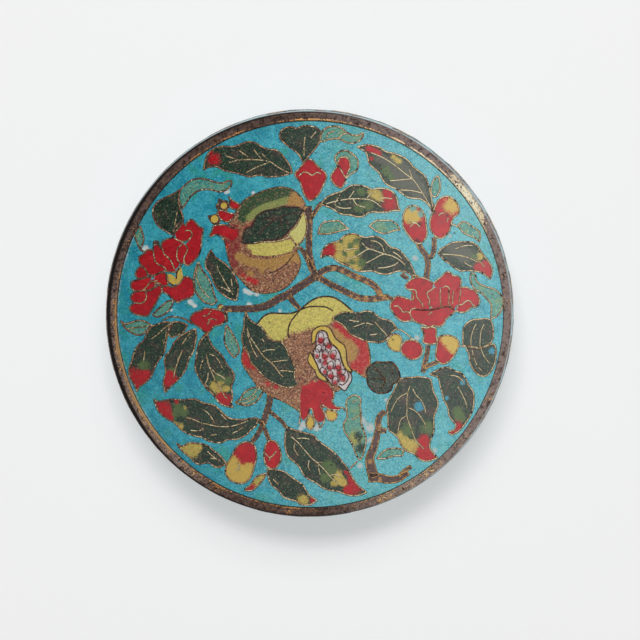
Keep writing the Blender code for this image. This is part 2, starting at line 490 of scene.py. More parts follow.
def soldered_wire():
    """A wire between dark flanks: its crest runs from dull brown through gold to cream as it is worn, and on
    the lid towards the right, where a painted sheen lies on it.
    """
    inputs = {"Crest": "number", "Rubbed": "number", "Dull": "colour", "Gold": "colour", "Bright": "colour",
              "Wear": "number"}
    outputs = {"Colour": "colour", "Metallic": "number", "Roughness": "number", "Height": "number"}
    n, given, made = group("Soldered wire", inputs, outputs)
    # The wear given, plus the painted sheen on the lid's wires.
    wear = n.math("MULTIPLY_ADD", given["Rubbed"], 0.15, given["Wear"])
    along, fine = n.noise(620.0, 3.0, 0.75), n.noise(1700.0, 2.0, 0.75)
    kept = n.rise(n.math("ADD", n.noise(900.0, 2.0, 0.7), given["Wear"]), 0.36, 0.46)
    crest = n.math("MULTIPLY", n.rise(given["Crest"], 0.60, 0.85), kept)
    gold = n.rise(n.math("ADD", along, wear), 0.44, 0.54)
    bright = n.rise(n.math("ADD", fine, wear), 0.50, 0.60)
    core = n.mix(bright, n.mix(gold, given["Dull"], given["Gold"]), given["Bright"])
    flank = n.mix(n.rise(fine, 0.45, 0.6), tone(34, 26, 26), tone(78, 60, 48))
    n.join(n.mix(crest, flank, core), made["Colour"])
    n.join(n.math("MULTIPLY", n.math("MULTIPLY", crest, gold), 0.5), made["Metallic"])
    n.join(n.rise(gold, 0.0, 1.0, 0.5, 0.34), made["Roughness"])
    n.join(n.math("ADD", fine, given["Crest"]), made["Height"])
    return n.tree


GLASS, ZONE, METAL, WIRE = fired_glass(), ragged_zone(), old_metal(), soldered_wire()


def finish(name, strength, **plain):
    """A new material: its nodes, its shader with the plain values set, and its bump."""
    material = bpy.data.materials.new(name)
    material.use_nodes = True
    n = Nodes(material.node_tree)
    shader = material.node_tree.nodes["Principled BSDF"]
    for key, value in plain.items():
        shader.inputs[key.replace("_", " ")].default_value = value
    bump = n.put("ShaderNodeBump", {"Strength": strength, "Distance": 0.0001})
    n.tree.links.new(bump.outputs[0], shader.inputs["Normal"])
    return material, n, shader, bump


def enamel_finish(name, tones, specks, lights=0.0, darks=0.0, patch=260.0, grain=0.3, zones=(), chalk=None):
    """Enamel in three tones with light and dark specks. Zones of other colours lie over them where the values
    on its vertices say, and take the specks two thirds of the way with them. Chalk colours its blooms."""
    material, n, shader, bump = finish(name, 0.30, Specular_IOR_Level=0.5)
    colours = dict(zip(("First", "Second", "Third", "Light_speck", "Dark_speck"), (*tones, *specks)))
    for key, over in zones:
        mask = n.value(key)
        overs = [over, over, over, *(tuple((2 * a + b) / 3 for a, b in zip(over, speck)) for speck in specks)]
        colours = {part: n.use(ZONE, Under=colours[part], Over=shown, Mask=mask)["Colour"]
                   for part, shown in zip(colours, overs)}
    glass = n.use(GLASS, **colours, Lights=lights, Darks=darks, Patch_scale=patch, Grain=grain,
                  Faded=n.value("Faded"), Chalk=n.value("Chalk") if chalk else 0.0,
                  Chalk_colour=chalk or tone(0, 0, 0))
    n.join(glass["Colour"], shader.inputs["Base Color"])
    n.join(glass["Roughness"], shader.inputs["Roughness"])
    n.join(glass["Height"], bump.inputs["Height"])
    return material


def metal_finish(name, tree, strength, specular, **sockets):
    """A metal from one of the groups, with its colour, metallic value, roughness and height."""
    material, n, shader, bump = finish(name, strength, Specular_IOR_Level=specular)
    given = {key: n.value(value) if isinstance(value, str) else value for key, value in sockets.items()}
    metal = n.use(tree, **given)
    for key, socket in (("Colour", "Base Color"), ("Metallic", "Metallic"), ("Roughness", "Roughness")):
        n.join(metal[key], shader.inputs[socket])
    n.join(metal["Height"], bump.inputs["Height"])
    return material


def wire_finish(name, wear, dull, gold, bright):
    """A wire in its three colours. The more wear, the more of it is gold and bright."""
    return metal_finish(name, WIRE, 0.3, 0.3, Crest="Crest", Rubbed="Rubbed", Wear=wear,
                        Dull=dull, Gold=gold, Bright=bright)


RED, OCHRE = tone(182, 6, 26), tone(176, 134, 68)
LEAF_LIGHT, LEAF_DARK = tone(84, 108, 60), tone(24, 54, 40)
TURQUOISE = (tone(18, 142, 166), tone(60, 172, 190), tone(42, 156, 148))
TURQUOISE_SPECKS = (tone(96, 190, 200), tone(12, 104, 124))

# The ground's Pale zone is partly its own paler tone and partly a painted sheen, to the right, at the bottom
# and at the upper right of the lid.
turquoise = enamel_finish(
    "turquoise_enamel", TURQUOISE, TURQUOISE_SPECKS, lights=0.08, darks=0.07, grain=1.7,
    zones=(("Pale", tone(114, 192, 196)),), chalk=tone(200, 208, 204))
plain_turquoise = enamel_finish(
    "plain_turquoise", TURQUOISE, TURQUOISE_SPECKS, lights=0.05, darks=0.05, grain=1.0,
    chalk=tone(168, 162, 162))
# One zone here is a painted glare: it dulls the leaves at the upper right, where the light's haze lies.
leaf_green = enamel_finish(
    "leaf_green", (tone(20, 45, 35), tone(25, 62, 42), tone(72, 60, 52)),
    (tone(124, 120, 94), tone(12, 16, 18)), lights=0.10, darks=0.10, patch=520.0, grain=1.9,
    zones=(("Grey", tone(88, 92, 80)), ("Yellow", tone(190, 168, 82)), ("Green", LEAF_LIGHT), ("Red", RED),
           ("Blue", tone(50, 150, 175))))
pale_green = enamel_finish(
    "pale_leaf_green", (tone(64, 146, 138), tone(94, 158, 142), tone(120, 158, 118)),
    (tone(168, 192, 152), tone(56, 86, 76)), lights=0.09, darks=0.09, patch=500.0, grain=1.5,
    zones=(("Yellow", tone(160, 158, 84)), ("Dark", LEAF_DARK)))
coral_red = enamel_finish(
    "coral_red", (tone(184, 6, 25), tone(166, 6, 25), tone(196, 22, 32)),
    (tone(220, 84, 76), tone(104, 12, 24)), lights=0.02, darks=0.04, patch=600.0, grain=0.9,
    zones=(("Yellow", tone(204, 172, 80)), ("Pale", tone(104, 164, 150)), ("Dark", tone(84, 12, 22))))
warm_yellow = enamel_finish(
    "warm_yellow", (tone(214, 178, 72), tone(204, 176, 80), tone(190, 170, 90)),
    (tone(230, 212, 136), tone(130, 104, 52)), lights=0.02, darks=0.03, patch=500.0, grain=0.9,
    zones=(("Pale", tone(206, 200, 120)), ("Red", RED)))
fruit_skin = enamel_finish(
    "fruit_skin", (tone(134, 86, 62), tone(158, 108, 72), tone(146, 82, 62)),
    (tone(206, 162, 124), tone(78, 46, 40)), lights=0.15, darks=0.14, patch=700.0, grain=1.7,
    zones=(("Ruddy", tone(134, 44, 42)), ("Green", tone(34, 74, 42)), ("Light", tone(134, 148, 80)),
           ("Ochre", OCHRE), ("Yellow", tone(208, 196, 98)), ("Red", tone(186, 8, 26))))
seed_white = enamel_finish(
    "seed_white", (tone(200, 190, 190), tone(216, 208, 204), tone(180, 156, 160)),
    (tone(236, 228, 224), tone(110, 80, 88)), lights=0.02, darks=0.06, patch=900.0, grain=0.9,
    zones=(("Dark", tone(92, 60, 70)), ("Red", tone(176, 14, 34))))
bark = enamel_finish(
    "bark_brown", (tone(76, 54, 52), tone(94, 70, 66), tone(60, 42, 38)),
    (tone(190, 146, 96), tone(44, 30, 30)), lights=0.05, darks=0.08, patch=900.0, grain=1.4,
    zones=(("Golden", tone(172, 126, 76)),))
outline_wire = wire_finish("outline_wire", 0.005, tone(106, 76, 62), tone(186, 142, 98), tone(246, 228, 186))
vein_wire = wire_finish("vein_wire", 0.045, tone(92, 86, 62), tone(200, 166, 114), tone(246, 232, 190))
dark_wire = wire_finish("dark_wire", -0.05, tone(60, 44, 44), tone(100, 76, 64), tone(176, 136, 100))
bark_wire = wire_finish("bark_wire", 0.0, tone(70, 48, 44), tone(140, 98, 66), tone(226, 178, 112))
rim_metal = metal_finish(
    "rim_patina", METAL, 0.6, 0.25, Gilt=tone(226, 188, 136), Dull_gilt=tone(196, 136, 78),
    Patina=tone(152, 134, 128), Dark_patina=tone(92, 70, 60), Crust=tone(46, 34, 30),
    Mask="Gilt", Polish="Polish", Soot="Soot", Fair="Fair")


# The picture on the lid

heaps = {name: Heap() for name in (*LAYERS, "outline_wires", "vein_wires", "bark_wires", "dark_wires")}

# The zones of other colours that cells of each kind may have
ZONES = {
    "branches": ("Golden",), "pale_leaves": ("Yellow", "Dark"),
    "pomegranates": ("Ruddy", "Green", "Light", "Ochre", "Yellow", "Red"), "yellow_cells": ("Pale", "Red"),
    "red_cells": ("Yellow", "Pale", "Dark"), "dark_leaves": ("Grey", "Yellow", "Green", "Red", "Blue"),
    "seeds": ("Dark", "Red"),
}

# Where the bark is flecked with gold, as blobs x, y and radius
GOLDEN = [
    (334,268,2.4), (342,271,2), (349,276,2.4), (358,278,2.6), (366,283,2.4), (373,288,2.4), (379,292,2.4),
    (351,296,2), (358,299,2.4), (366,298,2.4), (375,300,2), (384,297,2.4), (322,203,2.6), (311,221,1.8),
    (312,236,1.8), (312,250,2), (313,262,2), (230,310,1.6), (370,462,2.4), (380,480,2), (380,427,2.4),
    (371,447,1.8),
]

# Wires of what lies low in the picture stand lower than the cells that overlap it
LOW_WIRES = {"branches": 0.000030, "pomegranates": 0.000042}


def fill(kind, outline, rounded=True, wire="outline_wires", raised=0, **zones):
    """One enamel cell of the picture, with the wire that bounds it, if any."""
    sides = sides_of(outline, rounded)
    blobs = {key: zones.get(key.lower(), ()) for key in ZONES[kind]}
    add_cell(heaps[kind], sides, lid_face, LAYERS[kind] + raised * RAISE_STEP, **blobs)
    if wire:
        edge = np.vstack([sides[0], sides[1][-2:0:-1]])
        ring(edge, "bark_wires" if kind in LOW_WIRES else wire, proud=LOW_WIRES.get(kind, WIRE_PROUD))


def ring(path, heap="outline_wires", half=OUTLINE_HALF, proud=WIRE_PROUD):
    """A closed wire."""
    add_wire(heaps[heap], path, lid_face, half, True, proud)


def petals(kind, outlines, silhouettes, inner):
    """Cells that meet under shared wires: each is grown a little, the whole is ringed and the inner wires
    are drawn once."""
    for count, outline in enumerate(outlines):
        fill(kind, grown(outline, 1.0), wire=None, raised=count % 4)
    for silhouette in silhouettes:
        ring(smooth(silhouette, closed=True))
    draw(*inner, half=OUTLINE_HALF * 0.85)


def grown(outline, by):
    """An outline moved outward, square to itself."""
    tangent = np.roll(outline, -1, axis=0) - np.roll(outline, 1, axis=0)
    tangent /= np.hypot(*tangent.T)[:, None]
    x, y = outline.T
    turn = np.sign(np.sum(x * np.roll(y, -1) - y * np.roll(x, -1)))
    return outline + turn * by * np.column_stack([tangent[:, 1], -tangent[:, 0]])


def leaf(outline, *veins, rounded=False, kind="dark_leaves", heap="vein_wires", **zones):
    """A leaf and its veins."""
    fill(kind, outline, rounded, **zones)
    draw(*veins, heap=heap)


def circle(x, y, wide, tall, turn=0.0):
    """Outline of an ellipse with these half axes, turned."""
    t = np.linspace(0.0, math.tau, 12, endpoint=False)
    across, along = wide * np.cos(t), tall * np.sin(t)
    return np.column_stack([x + across * math.cos(turn) - along * math.sin(turn),
                            y + across * math.sin(turn) + along * math.cos(turn)])


def draw(*paths, half=VEIN_HALF, heap="vein_wires"):
    """Wires that lie on a cell."""
    for path in paths:
        add_wire(heaps[heap], smooth(path), lid_face, half)


def branch(*numbers, widths):
    """A strip of bark between two wires. Its width runs through the values given, from end to end."""
    points = line(*numbers)
    spread = np.interp(np.linspace(0, 1, len(points)), np.linspace(0, 1, len(widths)), widths)
    sides = strip_sides(smooth(np.column_stack([points, spread]), spacing=CELL_SPACING))
    add_cell(heaps["branches"], sides, lid_face, LAYERS["branches"], Golden=GOLDEN)
    ring(np.vstack([sides[0], sides[1][::-1]]), "bark_wires", OUTLINE_HALF * 0.85, LOW_WIRES["branches"])


def branches():
    """The spray's stems, from the main stem out."""
    branch(224, 309, 235, 309, 247, 309, 258, 308, 268, 305, 278, 299, 287, 295, 299, 287, 307, 282, 314,
        277, widths=(5, 6.5, 6.5))
    branch(316, 277, 313, 270, 311, 262, 309, 252, 309, 240, 309, 228, 309, 216, 308, 207,
        widths=(5, 5, 6.5))
    fill("branches", circle(316.5, 277, 5.0, 4.2), wire=None, raised=1)
    branch(311, 218, 315, 212, 319, 206, 322, 203, widths=(3, 3))
    branch(312, 270, 308, 260, 302, 250, 297, 247, widths=(5, 2))
    branch(289, 296, 294, 303, 300, 309, widths=(5, 3))
    branch(317, 275, 325, 270, 334, 268, 342, 270, 352, 275, 362, 279, 372, 284, 378, 290, 380, 295,
        widths=(5, 5))
    branch(320, 278, 330, 284, 340, 289, 350, 294, 360, 298, 370, 299, 380, 298, 388, 297, widths=(5, 5))
    branch(385, 296, 392, 299, 396, 302, widths=(3, 3))
    branch(418, 244, 422, 250, 426, 256, 428, 264, 427, 272, 426, 279, widths=(4, 4.5))
    branch(434, 238, 434, 246, 433, 253, 430, 258, widths=(3.5, 3.5))
    branch(433, 211, 432, 206, 428, 199, widths=(3, 3))
    branch(428, 346, 427, 354, 425, 362, 423, 372, widths=(3.5, 3.5))
    branch(424, 368, 430, 365, 437, 362, widths=(3, 3))
    branch(270, 395, 269, 404, 266, 414, 263, 424, widths=(5, 5))
    branch(263, 424, 258, 434, 252, 442, widths=(3.5, 3.5))
    branch(264, 428, 267, 436, 269, 441, widths=(3, 3))
    branch(270, 412, 276, 417, 282, 422, 286, 428, widths=(2.5, 2.5))
    branch(263, 424, 256, 420, widths=(3, 3))
    branch(385, 412, 380, 416, 378, 424, 380, 430, 386, 431, widths=(4, 5, 4))
    branch(378, 430, 376, 440, 373, 450, 370, 458, 371, 468, 374, 478, widths=(5, 7, 10))
    branch(369, 478, 378, 478, 388, 480, 398, 479, 408, 473, widths=(9, 7, 5))
    branch(400, 476, 405, 471, 411, 467, widths=(3, 3))
    branch(225, 312, 226, 322, widths=(3, 3))
    branch(207, 333, 203, 338, 199, 344, widths=(2.5, 2))
    branch(402, 274, 405, 277, 408, 278, widths=(4, 2))


def dark_leaves():
    """The dark green leaves, from the top left round to the bottom."""
    leaf(line(292,173, 290,166, 286,160, 281,154, 275,150, 268,149.5, 262,147, 256,143.5, 250,142, 244,143,
        238,145.5, 232,147, 222,146.5, 214,148.5, 208,154, 205,161, 203.5,170, 208,167.5, 214,166.5,
        219,167.5, 224,170.5, 230,172, 238,173.5, 244,175.5, 250,177, 256,175.5, 262,175.5, 268,177,
        276,176.5, 284,175.5), line(289,173, 279,168, 270,162, 258,160, 240,160, 228,163),
        line(268,163, 257,167, 246,173), line(261,159, 254,150), line(268,160, 262,154),
        line(248,157, 238,150), line(240,161, 226,156), red=[(214,159.5,5.5), (210,152,2)])
    leaf(line(303,162, 299,155, 292,149, 285,144, 280,138, 281,131, 286,128, 291,127, 297,128.5, 304,126,
        311,126.5, 318,129, 321,134, 319,143, 314,150, 308,157), line(304,156, 304,146, 305,137),
        line(311,138, 316,132), rounded=True)
    # This leaf carries a painted glare, dulled where the light's haze lies.
    leaf(line(433,212, 432,203, 430,193, 428,184, 425,177, 421,173, 413,167, 410,163, 405,158.5, 400,156,
        393,153.5, 386,152, 380,148, 374,146, 367,145, 362,146, 357,147, 364,151, 367,155, 368,160, 370,165,
        374,168.5, 379,173, 382,179, 386,184, 391,187, 396,189, 401,193, 407,197, 413,198.5, 420,199,
        425,202, 429,206), line(430,206, 424,196, 414,181, 404,173, 394,165, 383,158, 371,153),
        line(412,179, 401,180, 390,181), line(424,194, 413,191, 400,190), line(412,178, 409,169),
        red=[(369,149,3), (374,151,3), (379,154,2.5), (371,159,2)], yellow=[(393,157,2.5), (398,161,3)],
        green=[(386,171,4), (391,178,3)],
        grey=[(392,165,7), (402,172,9), (411,184,9), (420,193,7), (398,184,6), (380,158,5)])
    leaf(line(321,204, 325,199, 330,195.5, 337,193, 342,191.5, 347,188, 352,185.5, 360,185.5, 366,187,
        372,189.5, 378,188.5, 386,189, 391,191, 395,195, 397,200, 398,206, 400,211, 394,210.5, 388,212,
        380,212.5, 372,212, 368,213, 364,216, 358,217, 350,215, 343,214.5, 337,212, 333,209, 327,206.5),
        line(326,204, 333,202, 340,200.5, 350,199, 362,199, 370,200, 376,203, 381,207),
        line(349,198, 352,194, 354,191), line(367,198, 372,192), line(334,204, 338,207, 344,208.5, 351,208),
        line(353,199, 356,204, 360,206, 365,207.5), line(335,203, 340,195),
        line(384,202, 380,200, 384,198, 392,199), red=[(390,204,7), (387,193,4)],
        yellow=[(374,193,5), (380,198,4)], green=[(361,192,4), (368,205,5), (358,208,4)])
    leaf(line(321,258, 322,251, 326,246, 331,243, 337,241.5, 341,239, 344,236, 349,234, 355,234, 360,236,
        366,237.5, 372,236.5, 378,237, 384,240, 387,244, 391,247.5, 396,248.5, 400,251, 404,255, 408,260,
        412,267, 416,276, 410,274, 404,271, 396,271.5, 388,274, 380,273.5, 373,271, 367,271, 360,271.5,
        355,270, 350,267, 344,264.5, 340,263, 336,260, 333,257, 328,255.5, 324,256),
        line(341,252, 348,249.5, 357,248.5), line(345,258, 352,258, 360,254, 366,250, 370,249),
        line(362,243, 367,248, 373,250, 380,252.5, 386,254.5, 392,256, 398,259, 402,262, 406,266),
        line(371,240.5, 377,242, 382,246, 384,252), line(393,252, 398,255, 402,259),
        line(366,263, 372,260, 380,255.5, 386,253.5), line(378,268, 385,267.5, 393,265.5, 398,262.5),
        red=[(329,250,6.5)], yellow=[(343,246,9), (350,240,8), (352,256,7), (357,266,5), (340,256,5)],
        green=[(341,241,2.4), (350,246,3), (345,254,2.4), (356,241,3), (358,253,3.2), (352,262,2.6),
        (361,263,4)])
    leaf(line(172,235, 166,231.5, 159,227, 154.5,221, 152.5,214, 153.5,207, 158,201.5, 165,197.5, 172,194.5,
        180,189.5, 178.5,198, 179,206, 181.5,213, 183,219, 181,225, 177,230),
        line(173,232, 175,222, 177,212), green=[(158,215,1.5)])
    leaf(line(211,250, 208,255, 205.5,262, 206,268, 208,271, 211,275, 213,281, 216,287, 220,292, 225,296,
        230,299, 236,300.5, 238,291, 238,285, 236,280, 233,274, 229,268, 224,263, 219,260, 214,256),
        line(217,266, 219,272, 223,279, 227,286, 231,292, 233,295), line(218,286, 225,289, 230,292),
        line(231,271, 235,275), line(231,279, 232,286))
    leaf(line(303.5,211, 298,207.5, 290,207.5, 282,207, 273,209.5, 265,211, 259,214, 255,219, 252,226,
        246,229, 243,235, 242,243, 250,243.5, 257,243, 265,240, 271,240, 278,239, 284,236, 288,231, 293,227,
        297,222, 300,216), line(298,213, 286,215, 276,219, 267,226, 257,236),
        line(276,219, 268,218, 263,220), line(281,217, 280,226), line(285,220, 290,225), heap="dark_wires",
        wire="dark_wires")
    # This leaf carries a painted glare, dulled where the light's haze lies.
    leaf(line(438,253, 441,249, 446,246, 451,243, 457,242, 463,242, 469,242, 474,243.5, 478,247, 481,252,
        485,257, 488,261, 491,266, 492,272, 490,279, 485,275, 480,272, 474,271, 466,270.5, 461,271, 455,268,
        450,264, 444,260), line(442,254, 455,255, 466,257, 478,262),
        line(455,249, 460,247, 466,245.5, 472,245.5), line(464,262, 468,265, 472,266.5),
        line(476,259, 481,263, 484,267), red=[(485,264,4), (488,272,5), (478,267,4)],
        yellow=[(480,256,3.5)], green=[(474,257,3)], grey=[(455,249,8), (466,255,7)])
    leaf(line(332,319, 338,314.5, 345,312, 352,313, 359,313, 366,311, 373,312.5, 380,318, 388,320, 393,323,
        397,328.5, 391,333, 387,339, 380,342.5, 373,342, 366,341, 359,338, 352,335, 347,330, 343,325,
        337,321.5), line(375,322, 381,329, 385,333, 387,336), line(349,320, 354,321, 359,321.5),
        line(373,325, 366,323, 359,325, 353,327), line(370,335, 378,334), line(397,328, 390,334))
    leaf(line(463,345, 463,338, 463,330, 466,324, 472,320, 480,319, 487,318.5, 491,321, 493,328, 493,336,
        491,342, 486,346, 481,348, 474,347, 468,346), line(476,324, 473,330, 471,338, 471,345),
        line(484,324, 481,331, 480,340, 480,347), rounded=True)
    leaf(line(466,347, 469,354, 470,362, 473,369, 479,375, 485,376, 491,371, 495,362, 496,352, 494,344,
        487,346, 480,348.5, 473,347.5), line(472,350, 474,358, 477,365, 482,371),
        line(481,349, 484,356, 489,363), line(459,346, 465,346.5, 473,347, 480,348.5, 487,345),
        rounded=True, blue=[(492,351,3)])
    leaf(line(367,377, 367,370, 371,365, 377,362, 384,362.5, 391,362, 396,366, 399,372, 400,378, 397,382,
        393,384, 391,390, 385,393, 378,393, 372,390, 368,384), line(374,367, 378,371, 384,378),
        line(391,370, 393,374), line(384,376, 385,382, 381,389), line(372,379, 378,378, 384,380),
        rounded=True, wire="dark_wires", heap="dark_wires")
    leaf(line(400,379, 405,378, 412,377.5, 420,377, 430,379, 432,386, 434,393, 437,399, 438,405, 436,411,
        434,417, 434,424, 434,431, 432,437, 430,443, 430,448, 433,453, 438,458, 430,461, 423,461, 418,458,
        414,454, 408,452, 404,449, 400,443, 398,438, 394,434, 389,430, 388,423, 388,416, 387,410, 387,404,
        390,398, 393,393, 396,386),
        line(410,386, 408,392, 407,400, 407,408, 407,416, 409,423, 411,428, 415,439, 419,444, 424,449),
        line(407,393, 400,397, 396,402, 393,407, 391,412), line(406,416, 401,420, 399,426, 398,433),
        line(413,389, 416,395, 421,400, 424,406, 426,413),
        line(409,408, 415,411, 420,416, 424,422, 426,428),
        yellow=[(402,436,5), (403,443,5), (409,449,6), (414,446,5)], green=[(408,430,6), (428,428,6)],
        red=[(424,440,5), (424,454,8), (431,458,6)], blue=[(419,407,4)])
    leaf(line(430,374.5, 436,371, 442,368, 448,367, 455,371, 461,373, 466,379, 469,386, 473,391, 474,399,
        473,408, 470,416, 465,424, 459,431, 452,435, 448,432, 454,430, 456,425, 452,420, 449,415, 448,408,
        444,400, 442,392, 440,385, 438,377), line(458,387, 461,392, 464,398, 466,403, 467,408),
        line(450,375.5, 456,376, 461,379, 464,383), red=[(457,428,6), (452,433,3)],
        green=[(458,412,5), (461,419,4)], yellow=[(458,418,2.5)], blue=[(463,382,2.5), (447,398,2)])
    leaf(line(246,312.5, 249,319, 254,323, 260,326, 265,332, 268,338, 274,341, 281,342.5, 286,348,
        288.5,355, 292,361, 294.5,368, 294.5,377, 298,385, 291,387.5, 283,387, 276,384, 268,380, 262,375,
        256,368, 251,363, 248.5,355, 245,348, 242,341, 242,334, 244,327, 244,319),
        line(247,329, 250,337, 254,343, 260,352, 265,358, 270,362, 275,367, 279,373, 283,377),
        line(247,333, 250,342, 253,350, 257,357), line(262,339, 264,342), line(262,352, 268,350, 275,350),
        line(272,362, 280,361, 288,360), line(277,371, 286,371, 293,372))
    leaf(line(136,392, 134,386, 129,378, 128,370, 131,362, 133,354, 137,346, 143,341, 146,334, 151,327,
        158,324, 166,322, 172,324, 168,332, 166,340, 165,347, 163,354, 158,361, 154,368, 151,376, 145,383,
        139,387), line(170,324, 163,329, 158,334, 151,339), line(166,331, 165,338, 163,344),
        line(143,362, 144,352), red=[(135,378,8), (147,378,6), (137,386,5)], green=[(143,366,5)])
    leaf(line(170,324, 178,322, 187,325, 184,331, 178,335, 171,338, 168,333))
    leaf(line(164.5,393, 163,386, 163,380, 165,374, 165,368, 164,362, 165,356, 168,353, 171,349, 173,344,
        178,338, 184,334, 190,331, 195,329, 196,336, 195,343, 194,349, 192,354, 189,358, 187,364, 185,370,
        181,376, 177,381, 171,386, 167,390), line(190,333, 184,341, 181,346), line(178,358, 177,361),
        line(182,350, 176,366, 173,378), red=[(168,376,5), (170,383,7)], green=[(171,371,3)])
    leaf(line(207,334, 203,338, 199,344, 197,350, 196,357, 195,364, 195,370, 198,376, 202,383, 206,389,
        211,393, 215,398, 219,403, 224,406, 233,408, 231,404, 232,399, 232,393, 231,387, 233,382, 234,376,
        232,371, 228,367, 225,362, 222,356, 217,351, 212,346, 209,340),
        line(206,353, 207,360, 209,367, 212,374, 217,385, 221,390, 224,396, 227,399),
        line(209,354, 215,357, 219,362, 222,368), line(210,368, 216,374, 222,377, 225,380),
        line(203,360, 201,364, 200,369), line(208,373, 207,380, 205,384, 207,387),
        yellow=[(222,381,3.5), (214,386,4), (219,392,4), (227,389,3)], green=[(219,378,4), (228,381,4)],
        red=[(225,401,6), (220,397,4)])
    leaf(line(153,400, 158,402, 164,401, 170,400, 177,400, 184,400.5, 190,399.5, 196,400, 202,403,
        208,404.5, 214,406, 219,410, 224,415, 229,418.5, 236,420, 243,420, 250,419, 257,419, 256,426,
        251,430, 246,435, 241,438, 235,440, 228,440, 221,443, 214,443, 207,441, 202,438, 196,437, 189,435,
        183,432, 178,428, 174,423.5, 169,421, 163,417, 158,412, 155,406),
        line(202,410, 207,413, 211,418, 214,423), line(221,415, 226,420),
        line(186,418, 193,420, 200,423, 208,425, 217,427, 228,427, 238,425, 248,421),
        line(190,431, 198,431.5, 203,429), line(210,436, 216,435), line(232,434, 238,431, 242,428),
        red=[(162,406,6), (166,414,5), (169,420,3), (176,402,2)],
        yellow=[(180,427,3), (174,424,2), (184,409,2)], green=[(177,407,4), (183,413,4), (173,416,4)])
    leaf(line(176,444, 181,447, 186,445, 190,443.5, 196,444, 203,445, 208,447, 212,450.5, 217,454, 222,459,
        226,464, 219,468, 213,467, 209,463.5, 203,464, 198,465, 193,462, 189,458, 184,454, 180,450),
        line(210,459, 215,460, 220,461.5), line(207,452, 212,457, 218,461),
        yellow=[(189,450,8), (197,447,4), (183,448,5)])
    leaf(line(267,470, 275,470.5, 283,472, 289,476, 296,481, 302,485, 306,491, 309,496, 317,501, 310,505.5,
        302,505.5, 296,502, 289,500, 283,497.5, 279,492, 273,487, 269,481), line(273,480, 278,485),
        yellow=[(303,501,5)], red=[(313,501,3)])
    leaf(line(287,427, 293,430, 300,432, 308,434, 314,436, 317,440, 322,444, 328,448, 333,452, 338,457,
        343,463, 347,468, 350,473, 353,479, 358,486, 363,490, 367,493, 358,496, 350,496, 343,494, 338,492,
        330,491, 322,488, 317,484, 311,481, 306,478, 302,473, 299,467, 294,462, 289,458, 286,452, 285,445,
        285,437), line(291,437, 298,443, 305,451, 311,458, 318,464, 325,471, 332,479, 338,484),
        line(297,439, 303,438.5, 309,439.5), line(295,443, 294,449, 298,456),
        line(309,461, 308,467, 310,471), line(316,463, 322,463), line(318,466, 320,475),
        line(330,476, 336,475, 341,478), red=[(355,488,6), (347,491,4), (350,479,3), (346,473,2)],
        yellow=[(337,474,4), (340,480,4), (334,484,3), (344,484,3)],
        green=[(328,466,5), (333,471,4), (326,478,5)])
    leaf(line(266,474, 263,480, 258,486, 252,491, 246,491.5, 244,490, 250,486, 254,480, 259,476),
        yellow=[(256,483,14)], red=[(250,489,5)])


